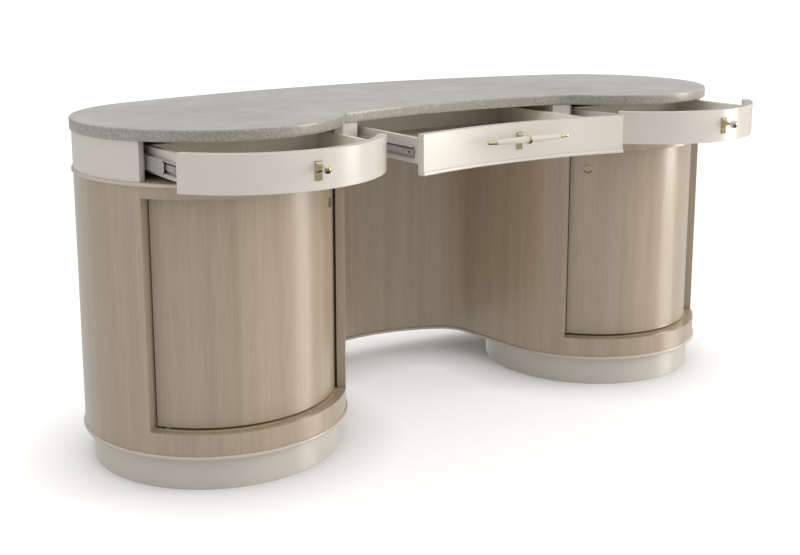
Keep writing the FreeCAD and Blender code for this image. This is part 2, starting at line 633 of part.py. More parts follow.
def hinge_pins():
    """Round plates on the cabinet floor and under the head rail, each with its pin."""
    pins = []
    for height, up in ((Z_OPENING, Vector(0, 0, 1)), (Z_HEAD, Vector(0, 0, -1))):
        plate = rod(HINGE_PLATE_R, HINGE_PLATE_T, pivot(height), up)
        pins.append(plate.fuse(rod(PIN_R, HINGE_PLATE_T + PIN_L, pivot(height), up)).removeSplitter())
    return pins


def finger_pull():
    """Round dished pull on the right door, near its free edge."""
    disc = rod(PULL_R, PULL_T, Vector(0, 0, 0), Vector(0, -1, 0))
    dish_r = PULL_R * (1 - PULL_RIM_SHARE)
    depth = PULL_T * PULL_DISH_SHARE
    ball_r = (dish_r ** 2 + depth ** 2) / (2 * depth)
    disc = disc.cut(Part.makeSphere(ball_r, Vector(0, depth - PULL_T - ball_r, 0)))
    turn = DOOR_HALF - math.degrees(PULL_INSET / DOOR_R)
    disc.translate(Vector(DRUM_X, -DOOR_R - SEAT_GAP, Z_HEAD - DOOR_GAP - PULL_DROP))
    disc.rotate(Vector(DRUM_X, 0, 0), Vector(0, 0, 1), -turn)
    return disc


def door_catch():
    """Magnetic catch on the head rail's inner side, its nib close to the closed door."""
    angle = -DOOR_HALF + math.degrees(CATCH_INSET / DOOR_MID_R)
    half = math.degrees(CATCH_W / FRAME_IN_R) / 2
    low = Z_UPPER_BEAD - CATCH_H
    case = sector(DRUM_X, 0, FRAME_IN_R - CATCH_T, FRAME_IN_R, angle - half, angle + half, low, Z_UPPER_BEAD)
    start = at(DRUM_X, 0, FRAME_IN_R - CATCH_T / 2, angle)
    start.z = (low + Z_HEAD) / 2
    reach = FRAME_BEHIND + CATCH_T / 2 - CATCH_NIB_GAP
    return case.fuse(rod(CATCH_NIB_R, reach, start, at(0, 0, 1, angle)))


def export(name, shape, opened=0):
    placed = shape.translated(Vector(0, FRAME_Y - opened, 0))
    placed.exportStep("parts/" + name + ".step")


def export_pair(name, pieces):
    """Pieces of the right half and their mirror images in one node."""
    export(name, Part.makeCompound([item for piece in pieces for item in (piece, mirrored(piece))]))


def export_sides(name, shape):
    """The same piece on the left and on the right, each in a node of its own."""
    export("left_" + name, mirrored(shape))
    export("right_" + name, shape)


def export_carcass():
    export("stone_top", stone_top())
    export_sides("apron", end_apron())
    export("back_apron", back_wall(Z_APRON, Z_STONE))
    export_pair("divider_posts", [post_block(FACE_SET, Z_APRON, Z_STONE)])
    export("apron_bead", apron_bead())
    export("base_bead", base_bead())
    export_sides("end_panel", end_panel())
    export("back_panel", back_wall(Z_SKIN, Z_UPPER_BEAD))
    export("kneehole_panel", kneehole_panel())
    export_sides("door_frame", door_frame())
    export("deck_board", prism(base_loop(SKIN_T), Z_UPPER_BEAD, Z_APRON))
    export("base_board", prism(base_loop(SKIN_T), PLINTH_H, PLINTH_H + BOARD_T))
    export_pair("cabinet_floors", [pedestal_board(SKIN_T, Z_OPENING - BOARD_T, Z_OPENING)])
    export_pair("cabinet_partitions", [partition()])
    export_pair("shelves", [shelf()])
    export_pair("shelf_pegs", shelf_pegs())
    export_sides("plinth", plinth())
    export_pair("levelling_feet", levelling_feet())
    export_pair("runner_boards", runner_boards())
    export_pair("door_catches", [door_catch()])
    export_pair("hinge_pins", hinge_pins())


def export_doors():
    export_sides("door", door())
    export_sides("pull", finger_pull())
    export_sides("hinge_bushes", Part.makeCompound(hinge_bushes()))


def export_side_drawer(side, opened, place):
    """A drawer of the right pedestal, or with place as the mirror of the left one, standing open."""
    front, sides, back, bottom = side_drawer()
    plate, ball, cap = [piece.translated(Vector(DRUM_X, -FACE_R - SEAT_GAP, Z_PLATE)) for piece in knob()]
    rail, middle, inner = side_slides()
    pieces = {"drawer_front": front, "drawer_sides": sides, "drawer_back": back, "drawer_bottom": bottom,
              "slide_inners": inner, "knob_plate": plate, "knob": ball, "knob_cap": cap}
    for name, piece in pieces.items():
        export(side + "_" + name, place(piece), opened)
    export(side + "_slide_middles", place(middle), opened / 2)
    return place(rail)


def export_centre_drawer():
    front, sides, back, bottom = centre_drawer()
    rail, middle, inner = centre_slides()
    pieces = {"centre_drawer_front": front, "centre_drawer_sides": sides, "centre_drawer_back": back,
              "centre_drawer_bottom": bottom, "centre_slide_inners": inner}
    seat = Vector(0, CENTRE_FACE_Y - SEAT_GAP, Z_PLATE)
    names = ("handle_plate", "handle_bar", "handle_ring", "handle_tips")
    for name, piece in zip(names, handle()):
        pieces[name] = piece.translated(seat)
    for name, piece in pieces.items():
        export(name, piece, CENTRE_OPEN)
    export("centre_slide_middles", middle, CENTRE_OPEN / 2)
    return rail


os.makedirs("parts", exist_ok=True)
export_carcass()
export_doors()
rails = [export_side_drawer("left", LEFT_OPEN, mirrored)]
rails.append(export_side_drawer("right", RIGHT_OPEN, lambda piece: piece))
rails.append(export_centre_drawer())
export("slide_rails", Part.makeCompound(rails))
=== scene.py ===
# %% [markdown]
# A vanity desk with a kidney-shaped stone top, three open drawers and two round pedestals.
# The construction model is loaded first and never changed. Each later cell dresses one piece of it.
# The pieces keep the places that the construction gives them, so nothing here has to be fitted by eye.

# %% Load the construction
import json
import math
import bmesh
import bpy
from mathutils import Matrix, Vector, noise

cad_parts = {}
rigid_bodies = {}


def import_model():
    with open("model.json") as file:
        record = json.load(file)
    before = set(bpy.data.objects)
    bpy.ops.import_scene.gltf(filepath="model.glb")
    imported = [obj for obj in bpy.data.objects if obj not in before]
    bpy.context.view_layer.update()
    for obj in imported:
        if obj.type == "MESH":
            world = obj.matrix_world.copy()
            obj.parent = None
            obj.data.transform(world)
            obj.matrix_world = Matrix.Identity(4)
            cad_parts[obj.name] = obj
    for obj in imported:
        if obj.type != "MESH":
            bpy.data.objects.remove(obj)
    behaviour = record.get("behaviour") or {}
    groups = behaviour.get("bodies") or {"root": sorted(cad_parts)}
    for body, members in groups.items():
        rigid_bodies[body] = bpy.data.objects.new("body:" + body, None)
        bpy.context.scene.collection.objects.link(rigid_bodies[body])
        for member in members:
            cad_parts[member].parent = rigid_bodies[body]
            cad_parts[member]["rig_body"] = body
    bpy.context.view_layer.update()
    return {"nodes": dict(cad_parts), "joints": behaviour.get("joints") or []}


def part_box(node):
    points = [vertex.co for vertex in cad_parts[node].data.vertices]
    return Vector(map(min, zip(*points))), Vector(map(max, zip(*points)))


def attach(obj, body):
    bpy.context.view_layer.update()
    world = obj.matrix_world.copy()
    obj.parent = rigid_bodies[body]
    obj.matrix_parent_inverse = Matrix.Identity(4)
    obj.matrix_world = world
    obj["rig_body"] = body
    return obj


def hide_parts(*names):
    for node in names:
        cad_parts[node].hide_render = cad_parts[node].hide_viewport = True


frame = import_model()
MM = 0.001

# %% [markdown]
# The whole plan follows from a few circles: one round each pedestal, one for the bowed back, one for the
# hollow front. They could be typed in again, but then two drawings would have to be kept alike. So their
# centres and radii are worked out here from the construction. Angles run in degrees from the front
# towards the right, and half_mm takes out the small error of the facets.

# %% Circles of the plan
def half_mm(length):
    return round(length / (0.5 * MM)) * 0.5 * MM


def on_circle(centre, radius, angle):
    turn = math.radians(angle)
    return Vector((centre.x + radius * math.sin(turn), centre.y - radius * math.cos(turn), 0))


def board_of(node, centre, facing):
    """Outer radius, thickness, two end angles and two heights of a bent board that faces this way."""
    points = [vertex.co for vertex in frame["nodes"][node].data.vertices]
    radii = [math.hypot(p.x - centre.x, p.y - centre.y) for p in points]
    turns = [math.degrees(math.atan2(p.x - centre.x, centre.y - p.y)) for p in points]
    turns = [(turn - facing + 180) % 360 + facing - 180 for turn in turns]
    low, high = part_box(node)
    return max(radii), max(radii) - min(radii), min(turns), max(turns), low.z, high.z


plinth_low, plinth_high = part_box("right_plinth")
stone_low, stone_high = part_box("stone_top")
DRUM_X = half_mm((plinth_low.x + plinth_high.x) / 2)
DRUM_Y = (plinth_low.y + plinth_high.y) / 2
RIGHT_DRUM = Vector((DRUM_X, DRUM_Y, 0))
LEFT_DRUM = Vector((-DRUM_X, DRUM_Y, 0))
FACE_R, SKIN, OPENING, BACK_TURN, APRON_LOW, APRON_HIGH = board_of("right_apron", RIGHT_DRUM, 90)
TOP_R = half_mm(stone_high.x - DRUM_X)
BOW = half_mm(stone_high.y - DRUM_Y) - TOP_R
BACK_AXIS = Vector((0, DRUM_Y + (BOW ** 2 - DRUM_X ** 2) / (2 * BOW), 0))
BACK_R = DRUM_Y + TOP_R + BOW - BACK_AXIS.y
OPENED = {joint["child"]: -joint["range_m"][0] for joint in frame["joints"] if joint["type"] == "slide"}
front_low, front_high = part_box("centre_drawer_front")
kink = on_circle(RIGHT_DRUM, TOP_R, -OPENING)
lip_end = Vector((front_high.x, front_low.y + OPENED["centre_drawer"], 0))
HOLLOW_AXIS = Vector((0, (lip_end.length_squared - kink.length_squared) / (2 * (lip_end.y - kink.y)), 0))
HOLLOW_R = (kink - HOLLOW_AXIS).length
print("pedestals", round(FACE_R, 4), "m, back", round(BACK_R, 3), "m,",
      "hollow front", round(HOLLOW_R, 3), "m")

# %% [markdown]
# The photograph keeps upright edges nearly upright, as a view camera does with its lens moved down.
# A small lens shift does part of that here and a gentle tilt does the rest, because the shift also
# acts in every other view of the desk.

# %% Camera
CAMERA_PLACE = (-1.7310, -2.3524, 1.0769)
CAMERA_TURN = 34.60          # degrees from +Y towards +X
CAMERA_TILT = 10.85          # degrees below level
LENS_MM = 54.24
LENS_SHIFT = -0.10


def linked(name, data):
    """A new object with this data, linked to the scene."""
    thing = bpy.data.objects.new(name, data)
    bpy.context.collection.objects.link(thing)
    return thing


camera = linked("camera", bpy.data.cameras.new("camera"))
camera.data.lens = LENS_MM
camera.data.shift_y = LENS_SHIFT
camera.location = CAMERA_PLACE
camera.rotation_euler = (math.radians(90 - CAMERA_TILT), 0, math.radians(-CAMERA_TURN))
bpy.context.scene.camera = camera
print("camera", camera.location[:], "lens", LENS_MM, "mm")

# %% [markdown]
# Five small functions serve the node trees of the lesson. The first turns a colour from its usual hex code
# into the linear numbers that a renderer adds and multiplies. The second adds a node, sets it up and links
# it, so that a tree reads as a short list. The third works out a pattern's scale from a real size, the
# fourth starts a material and the fifth links the last nodes of a finish to its shader.

# %% Node helpers
def linear(code):
    parts = [int(code[i:i + 2], 16) / 255 for i in (1, 3, 5)]
    return [c / 12.92 if c <= 0.04045 else ((c + 0.055) / 1.055) ** 2.4 for c in parts] + [1.0]


def add(tree, kind, inputs=None, stops=(), **settings):
    """Adds a node. Inputs are values, or nodes and sockets to link; stops are a ramp's colours."""
    node = tree.nodes.new(kind)
    for name, value in settings.items():
        setattr(node, name, value)
    for name, value in (inputs or {}).items():
        if isinstance(value, bpy.types.Node):
            value = next(out for out in value.outputs if out.enabled)
        if isinstance(value, bpy.types.NodeSocket):
            tree.links.new(value, node.inputs[name])
        else:
            node.inputs[name].default_value = value
    while stops and len(node.color_ramp.elements) < len(stops):
        node.color_ramp.elements.new(0.5)
    for place, (position, code) in enumerate(stops):
        node.color_ramp.elements[place].position = position
        node.color_ramp.elements[place].color = linear(code)
    return node


def cells(*sizes_mm):
    """Pattern scale for cells of this size along X, Y and Z."""
    return [1 / (size * MM) for size in sizes_mm]


def surface(name, **values):
    """A new material: its tree, its shader with these values on its sockets, and Object coordinates."""
    material = bpy.data.materials.new(name)
    material.use_nodes = True
    tree = material.node_tree
    tree.nodes.clear()
    shader = add(tree, "ShaderNodeBsdfPrincipled", {k.replace("_", " "): v for k, v in values.items()})
    add(tree, "ShaderNodeOutputMaterial", {"Surface": shader})
    return material, tree, shader, add(tree, "ShaderNodeTexCoord").outputs["Object"]


def feed(tree, shader, **sources):
    """Links the last nodes of a finish to the shader's sockets."""
    for name, source in sources.items():
        output = next(out for out in source.outputs if out.enabled)
        tree.links.new(output, shader.inputs[name.replace("_", " ")])


print("helpers ready; mid grey is", round(linear("#808080")[0], 3), "in linear light")

# %% [markdown]
# The sky is bright overhead and dim near the horizon, as below a large ceiling softbox. A picture of a
# real room could light the desk too, but a ramp of greys over the height of the view is enough for soft
# light. Below the horizon the ramp stands for the floor, and only reflections see it: polished metal then
# mirrors something dark as well as the lights, and that contrast is what makes it look polished.

# %% Sky
SKY_GLOW = 1.7
scene = bpy.context.scene
scene.view_settings.view_transform = "Standard"
scene.world = bpy.data.worlds.new("white_sky")
scene.world.use_nodes = True
sky_tree = scene.world.node_tree
sky = sky_tree.nodes["Background"]
sky.inputs["Strength"].default_value = SKY_GLOW
way = add(sky_tree, "ShaderNodeTexCoord").outputs["Generated"]
height = add(sky_tree, "ShaderNodeSeparateXYZ", {"Vector": way}).outputs["Z"]
level = add(sky_tree, "ShaderNodeMapRange", {"Value": height, "From Min": -1.0})
room = [(0.18, "#303030"), (0.3, "#9C9C9B"), (0.44, "#9C9C9B")]
ceiling = [(0.5, "#343433"), (1.0, "#FFFEFC")]
feed(sky_tree, sky, Color=add(sky_tree, "ShaderNodeValToRGB", {"Fac": level}, room + ceiling))
print("sky with", len(room + ceiling), "greys from straight below to straight above")

# %% [markdown]
# The floor is a pale light table. A plain white sheet would need much more light to come out white, so the
# frosted acrylic glows a little by itself, which also keeps the shadows on it pale. Close to the desk the
# glow is dimmed by ambient occlusion, a painted soft shadow round the foot of the desk, so that the desk
# stands firmly. Reflections pass through the floor to the dimmer sky below it.

# %% Floor
FLOOR_SIZE = 120.0
FLOOR_GLOW = 0.55
SHADE_REACH = 0.16           # metres over which a near piece dims the glow
FROST_SIZE = 900 * MM
floor_acrylic, tree, shader, place = surface("frosted_white_acrylic", Roughness=0.9,
                                             Emission_Color=linear("#FFFFFF"))
# Painted shadow: the floor's glow fades with ambient occlusion near the desk, as if the desk shaded it.
painted_shadow_fade = add(tree, "ShaderNodeAmbientOcclusion", {"Distance": SHADE_REACH}).outputs["AO"]
glow_less_painted_shadow = add(tree, "ShaderNodeMath", {0: painted_shadow_fade, 1: FLOOR_GLOW}, operation="MULTIPLY")
feed(tree, shader, Emission_Strength=glow_less_painted_shadow)
frost = add(tree, "ShaderNodeTexNoise", {"Vector": place, "Scale": 1 / FROST_SIZE, "Detail": 3.0})
tint = add(tree, "ShaderNodeValToRGB", {"Fac": frost}, [(0.3, "#B3B3B3"), (0.7, "#B6B6B6")])
feed(tree, shader, Base_Color=tint)
half = FLOOR_SIZE / 2
corners = [(-half, -half, 0), (half, -half, 0), (half, half, 0), (-half, half, 0)]
floor_mesh = bpy.data.meshes.new("floor")
floor_mesh.from_pydata(corners, [], [(0, 1, 2, 3)])
floor_mesh.materials.append(floor_acrylic)
floor = linked("floor", floor_mesh)
floor.visible_glossy = False
print("floor", FLOOR_SIZE, "m wide")

# %% [markdown]
# Four rectangular lights stand in a wide ring round the desk and face it. Round fronts show a lamp as an
# upright band, so a tall panel far to the right draws the bright bands on them. Its dim twin below the
# floor stands for its mirror image in a polished floor, which only reflections see. A wide weak panel
# beside the desk lifts the sides that look away, and another fills the front.

# %% Soft panels
PANEL_AWAY = 8.0
AIM_HEIGHT = 0.4
PANELS = (                   # name, degrees to the right, height, width, tall, brightness, colour
    ("right_panel", 60, 1.9, 2.2, 4.6, 13.0, "#FFF7F0"),
    ("floor_image", 61, -2.1, 3.0, 3.4, 1.8, "#FFF7F0"),
    ("side_panel", 97, 1.6, 3.0, 3.0, 0.9, "#FFF9F3"),
    ("front_panel", 34, 2.2, 4.0, 4.0, 1.1, "#FFFBF6"))


def soft_panel(name, turn, height, width, tall, brightness, code):
    """A rectangular light that faces the desk; turn is in degrees from the front towards the right."""
    lamp = bpy.data.lights.new(name, "AREA")
    lamp.shape = "RECTANGLE"
    lamp.size = width
    lamp.size_y = tall
    lamp.energy = brightness * math.pi * width * tall
    lamp.color = linear(code)[:3]
    light = linked(name, lamp)
    light.location = on_circle(Vector((0, 0, 0)), PANEL_AWAY, turn) + Vector((0, 0, height))
    aim = Vector((0, 0, AIM_HEIGHT)) - light.location
    light.rotation_euler = aim.to_track_quat("-Z", "Y").to_euler()


for panel in PANELS:
    soft_panel(*panel)
print(len(PANELS), "soft panels", PANEL_AWAY, "m from the desk")

# %% [markdown]
# The top is honed stone: cut from a slab, rubbed matt and lightly sealed. The face shows soft grey clouds
# with a few pale wisps. The sawn edge is mottled, and its grains stand open in a fine relief. A picture of
# real stone would end at its border, while noise runs on round the edge. Which of the two looks shows is
# decided by how far the surface looks up.

# %% Honed stone
honed_stone, tree, shader, place = surface("honed_grey_stone")
clouds = add(tree, "ShaderNodeTexNoise", {"Vector": place, "Scale": 1 / (230 * MM), "Detail": 6.0,
                                          "Roughness": 0.62, "Distortion": 0.6})
wisp_space = add(tree, "ShaderNodeMapping", {"Vector": place, "Scale": cells(75, 32, 75)})
wisps = add(tree, "ShaderNodeTexNoise", {"Vector": wisp_space, "Scale": 1.0, "Detail": 6.0,
                                         "Roughness": 0.65, "Distortion": 0.9})
grains = add(tree, "ShaderNodeTexNoise", {"Vector": place, "Scale": 1 / (2.6 * MM), "Detail": 3.0,
                                          "Roughness": 0.7})
crumbs = add(tree, "ShaderNodeTexNoise", {"Vector": place, "Scale": 1 / (6 * MM), "Detail": 6.0,
                                          "Roughness": 0.72, "Distortion": 0.1})
face = add(tree, "ShaderNodeValToRGB", {"Fac": clouds}, [(0.3, "#A3A29E"), (0.7, "#B9B8B4")])
veil = add(tree, "ShaderNodeValToRGB", {"Fac": wisps}, [(0.35, "#6C6B67"), (0.72, "#9C9B96")])
face = add(tree, "ShaderNodeMix", {"Factor": 0.32, "A": face, "B": veil}, data_type="RGBA",
           blend_type="OVERLAY")
edge = add(tree, "ShaderNodeValToRGB", {"Fac": crumbs},
           [(0.3, "#7E7C76"), (0.5, "#989690"), (0.7, "#B0AEA7")])
normal = add(tree, "ShaderNodeNewGeometry").outputs["Normal"]
upward = add(tree, "ShaderNodeSeparateXYZ", {"Vector": normal}).outputs["Z"]
flatness = add(tree, "ShaderNodeMapRange", {"Value": upward, "From Min": 0.15, "From Max": 0.8})
colour = add(tree, "ShaderNodeMix", {"Factor": flatness, "A": edge, "B": face}, data_type="RGBA")
depth = add(tree, "ShaderNodeMapRange", {"Value": flatness, "To Min": 0.35, "To Max": 0.05})
relief = add(tree, "ShaderNodeMath", {0: grains, 1: crumbs}, operation="ADD")
bump = add(tree, "ShaderNodeBump", {"Height": relief, "Strength": depth.outputs[0],
                                    "Distance": 0.6 * MM})
shine = add(tree, "ShaderNodeMapRange", {"Value": flatness, "To Min": 0.28, "To Max": 0.56})
feed(tree, shader, Base_Color=colour, Roughness=shine, Normal=bump)
print("stone finish", honed_stone.name)

# %% [markdown]
# Apron, drawer fronts and plinths are sprayed with a pearl cream lacquer. A sprayed film is smooth but
# never flat: it keeps a faint orange-peel ripple a few millimetres long, which softens every reflection,
# and its gloss wanders a little from place to place. The coat on top stands for the clear last layer.
# Stoved enamel, moulded plastic and the dark rubber that paints the shade in the gaps round the doors have a
# smooth skin of the same kind with other tones and gloss, so one function serves them all.

# %% Smooth skins
def smooth_skin(name, light, dark, gloss_low, gloss_high):
    material, tree, shader, place = surface(name, Coat_Weight=0.3, Coat_Roughness=0.2)
    drift = add(tree, "ShaderNodeTexNoise", {"Vector": place, "Scale": 1 / (320 * MM), "Detail": 2.0})
    ripple = add(tree, "ShaderNodeTexNoise", {"Vector": place, "Scale": 1 / (3.4 * MM), "Detail": 1.0})
    mottle = add(tree, "ShaderNodeMix", {"Factor": 0.5, "A": drift, "B": ripple})
    tint = add(tree, "ShaderNodeValToRGB", {"Fac": mottle}, [(0.0, dark), (1.0, light)])
    shine = add(tree, "ShaderNodeMapRange", {"Value": drift, "To Min": gloss_low, "To Max": gloss_high})
    bump = add(tree, "ShaderNodeBump", {"Height": ripple, "Strength": 0.04, "Distance": 0.3 * MM})
    feed(tree, shader, Base_Color=tint, Roughness=shine, Normal=bump)
    return material


cream_lacquer = smooth_skin("sprayed_cream_lacquer", "#CCC8C0", "#C0BCB3", 0.2, 0.26)
plinth_lacquer = smooth_skin("sprayed_plinth_lacquer", "#C3BFB6", "#B6B2A8", 0.21, 0.27)
bead_lacquer = smooth_skin("sprayed_moulding_lacquer", "#BFB4A8", "#B6AA9E", 0.28, 0.34)
cream_enamel = smooth_skin("stoved_cream_enamel", "#C3BCB2", "#BAB3A8", 0.18, 0.24)
catch_plastic = smooth_skin("moulded_grey_plastic", "#B9B8B4", "#AEADA8", 0.4, 0.5)
# Dark rubber that lines the door frames' grooves: painted shade in the gaps round the doors.
painted_gap_shade_rubber = smooth_skin("extruded_dark_rubber", "#2E2A27", "#24211E", 0.55, 0.65)
print("lacquers", cream_lacquer.name, plinth_lacquer.name, bead_lacquer.name, cream_enamel.name)

# %% [markdown]
# The pedestals wear a straight-grained taupe veneer under satin lacquer. Veneer is sliced in leaves that
# are laid side by side, so neighbouring strips differ a trace in tone. The grain runs upright: long fine
# streaks, wider soft bands of growth and short dark pores. The real streaks are finer than half a
# millimetre; here they are drawn about two millimetres wide so that they still show in the picture.
# The strips follow the bent board through an attribute named along, the distance along it in metres.
# A photographed leaf would repeat itself on so long a wall, and noise stretched along the grain does not.

# %% Veneer, ply and drawer lining
LEAF_WIDTH = 92 * MM
BAND_SHARE = 0.45            # what bands, streaks and leaves add to the figure
STREAK_SHARE = 0.5
LEAF_SHARE = 0.04
FIGURE_LIFT = 0.025


def sliced_veneer(name, coat, light, dark, pore, gloss_low, gloss_high):
    material, tree, shader, place = surface(name, Coat_Weight=coat, Coat_Roughness=0.3)
    streak_space = add(tree, "ShaderNodeMapping", {"Vector": place, "Scale": cells(2.0, 2.0, 85)})
    band_space = add(tree, "ShaderNodeMapping", {"Vector": place, "Scale": cells(30, 30, 1100)})
    pore_space = add(tree, "ShaderNodeMapping", {"Vector": place, "Scale": cells(1.1, 1.1, 16)})
    streaks = add(tree, "ShaderNodeTexNoise", {"Vector": streak_space, "Scale": 1.0, "Detail": 3.0,
                                               "Roughness": 0.6})
    bands = add(tree, "ShaderNodeTexNoise", {"Vector": band_space, "Scale": 1.0, "Detail": 4.0,
                                             "Roughness": 0.55, "Distortion": 0.25})
    pores = add(tree, "ShaderNodeTexNoise", {"Vector": pore_space, "Scale": 1.0, "Detail": 2.0,
                                             "Roughness": 0.6})
    along = add(tree, "ShaderNodeAttribute", attribute_name="along").outputs["Fac"]
    count = add(tree, "ShaderNodeMath", {0: along, 1: LEAF_WIDTH}, operation="DIVIDE")
    leaf = add(tree, "ShaderNodeMath", {0: count}, operation="FLOOR")
    tone = add(tree, "ShaderNodeTexWhiteNoise", {"W": leaf}, noise_dimensions="1D").outputs["Value"]
    figure = add(tree, "ShaderNodeMath", {0: bands, 1: BAND_SHARE, 2: FIGURE_LIFT}, operation="MULTIPLY_ADD")
    figure = add(tree, "ShaderNodeMath", {0: streaks, 1: STREAK_SHARE, 2: figure}, operation="MULTIPLY_ADD")
    figure = add(tree, "ShaderNodeMath", {0: tone, 1: LEAF_SHARE, 2: figure}, operation="MULTIPLY_ADD")
    wood = add(tree, "ShaderNodeValToRGB", {"Fac": figure}, [(0.34, dark), (0.72, light)])
    open_pores = add(tree, "ShaderNodeMapRange", {"Value": pores, "From Min": 0.62, "From Max": 0.76,
                                                  "To Max": 0.5})
    colour = add(tree, "ShaderNodeMix", {"Factor": open_pores, "A": wood, "B": linear(pore)},
                 data_type="RGBA")
    shine = add(tree, "ShaderNodeMapRange", {"Value": streaks, "To Min": gloss_low,
                                             "To Max": gloss_high})
    bump = add(tree, "ShaderNodeBump", {"Height": streaks, "Strength": 0.06, "Distance": 0.15 * MM})
    feed(tree, shader, Base_Color=colour, Roughness=shine, Normal=bump)
    return material


taupe_veneer = sliced_veneer("sliced_taupe_veneer", 1.0, "#AC9C88", "#95846F", "#7D6D5B", 0.2, 0.27)
carcass_ply = sliced_veneer("sanded_birch_ply", 0.0, "#C8B699", "#AD9978", "#8F7A5A", 0.5, 0.62)
# The drawer lining is lighter than its own stained tone: painted light that lifts the shade inside the
# drawers.
drawer_lining = sliced_veneer("stained_drawer_lining", 0.0, "#EFE9DE", "#E2DBCF", "#C7BFB1", 0.45, 0.6)
print("wood finishes", taupe_veneer.name, carcass_ply.name, drawer_lining.name)

# %% [markdown]
# The hardware is polished champagne brass and the drawer slides are zinc-plated steel. Polished brass
# still carries hair-fine buffing lines, drawn half a millimetre wide here so that they show. Zinc plate
# shows faint patches a few millimetres wide, and its milky clear film scatters part of the light, so it
# counts as metal only in part. One noise, stretched or round, gives both, so one function is enough.

# %% Metals
def plated_metal(name, metallic, light, dark, patch_mm, gloss_low, gloss_high):
    material, tree, shader, place = surface(name, Metallic=metallic)
    patch_space = add(tree, "ShaderNodeMapping", {"Vector": place, "Scale": cells(*patch_mm)})
    patches = add(tree, "ShaderNodeTexNoise", {"Vector": patch_space, "Scale": 1.0, "Detail": 3.0,
                                               "Roughness": 0.6})
    tint = add(tree, "ShaderNodeValToRGB", {"Fac": patches}, [(0.35, dark), (0.65, light)])
    shine = add(tree, "ShaderNodeMapRange", {"Value": patches, "To Min": gloss_low,
                                             "To Max": gloss_high})
    bump = add(tree, "ShaderNodeBump", {"Height": patches, "Strength": 0.06, "Distance": 0.05 * MM})
    feed(tree, shader, Base_Color=tint, Roughness=shine, Normal=bump)
    return material


champagne_brass = plated_metal("polished_champagne_brass", 1.0, "#C9BB9B", "#B8A985", (0.5, 0.5, 9),
                               0.06, 0.13)
zinc_steel = plated_metal("zinc_plated_steel", 0.6, "#C2C0BC", "#B2B0AC", (5, 5, 5), 0.4, 0.55)
print("metals", champagne_brass.name, zinc_steel.name)

# %% [markdown]
# Most of the desk is long stock that follows a line: bent boards, mouldings, pressed steel channels. Each
# could be drawn face by face. A Geometry Nodes tree states the rule instead: take a chain of edges as the
# path, take another object's outline as the section, and carry the section along the path. Seen in the
# direction of travel, the section's first number goes to the right, which is outwards on a path that runs
# round the desk counter-clockwise. The second number is the height. The tree also stores how far along the
# path each point lies, because the veneer's leaves are counted by that.

# %% Sweep tree
def new_tree(name, **inputs):
    """A Geometry Nodes tree with these named inputs, and its input node."""
    tree = bpy.data.node_groups.new(name, "GeometryNodeTree")
    for label, kind in {"Geometry": "NodeSocketGeometry", **inputs}.items():
        tree.interface.new_socket(label, in_out="INPUT", socket_type=kind)
    tree.interface.new_socket("Geometry", in_out="OUTPUT", socket_type="NodeSocketGeometry")
    return tree, add(tree, "NodeGroupInput")


def end_tree(tree, start, shape):
    """Every tree ends with real geometry in its own finish."""
    smooth = add(tree, "GeometryNodeSetShadeSmooth", {"Geometry": shape})
    real = add(tree, "GeometryNodeRealizeInstances", {"Geometry": smooth})
    finish = start.outputs["Finish"]
    dressed = add(tree, "GeometryNodeSetMaterial", {"Geometry": real, "Material": finish})
    add(tree, "NodeGroupOutput", {"Geometry": dressed})


sweep, start = new_tree("section_along_path", Section="NodeSocketObject", Finish="NodeSocketMaterial")
path = add(sweep, "GeometryNodeMeshToCurve", {"Mesh": start.outputs["Geometry"]})
upright = add(sweep, "GeometryNodeSetCurveNormal", {"Curve": path}, mode="Z_UP")
run = add(sweep, "GeometryNodeSplineParameter").outputs["Length"]
marked = add(sweep, "GeometryNodeStoreNamedAttribute",
             {"Geometry": upright, "Name": "along", "Value": run}, data_type="FLOAT", domain="POINT")
outline = add(sweep, "GeometryNodeObjectInfo", {"Object": start.outputs["Section"]}).outputs["Geometry"]
section = add(sweep, "GeometryNodeMeshToCurve", {"Mesh": outline})
wall = add(sweep, "GeometryNodeCurveToMesh", {"Curve": marked, "Profile Curve": section,
                                              "Fill Caps": True})
end_tree(sweep, start, wall)
print("sweep tree with", len(sweep.nodes), "nodes")

# %% [markdown]
# A tree does nothing until a modifier runs it on an object. These functions lay out a path as bare edges,
# run the tree on it and keep the result as a plain mesh, as applying the modifier by hand would do. The
# section is only needed while the tree runs. The last step turns every face outwards.

# %% Running a tree
def keep_result(piece, modifier):
    """Makes what the modifier gives the object's plain mesh and removes the modifier."""
    evaluated = piece.evaluated_get(bpy.context.evaluated_depsgraph_get())
    mesh = bpy.data.meshes.new_from_object(evaluated)
    mesh.name = piece.name
    piece.modifiers.remove(modifier)
    piece.data = mesh
    return piece


def settle(piece, tree, **inputs):
    """Runs a tree on an object with its named inputs and keeps the result as the object's plain mesh."""
    modifier = piece.modifiers.new(tree.name, "NODES")
    modifier.node_group = tree
    for item in tree.interface.items_tree:
        if item.in_out == "INPUT" and item.name in inputs:
            modifier[item.identifier] = inputs[item.name]
    return keep_result(piece, modifier)


def chains(name, runs, closed):
    """An object of bare edges, one chain for each run of points."""
    points = []
    edges = []
    for run in runs:
        first = len(points)
        points.extend(run)
        edges.extend((first + i, first + i + 1) for i in range(len(run) - 1))
        if closed:
            edges.append((len(points) - 1, first))
    mesh = bpy.data.meshes.new(name)
    mesh.from_pydata(points, edges, [])
    return linked(name, mesh)


def swept(name, runs, section, finish, closed=False):
    """A section of (outwards, upwards) points carried along each run."""
    outline = chains("section", [[(out, -up, 0) for out, up in section]], True)
    piece = settle(chains(name, runs, closed), sweep, Section=outline, Finish=finish)
    bpy.data.objects.remove(outline)
    shape = bmesh.new()
    shape.from_mesh(piece.data)
    bmesh.ops.recalc_face_normals(shape, faces=shape.faces)
    shape.to_mesh(piece.data)
    shape.free()
    return piece


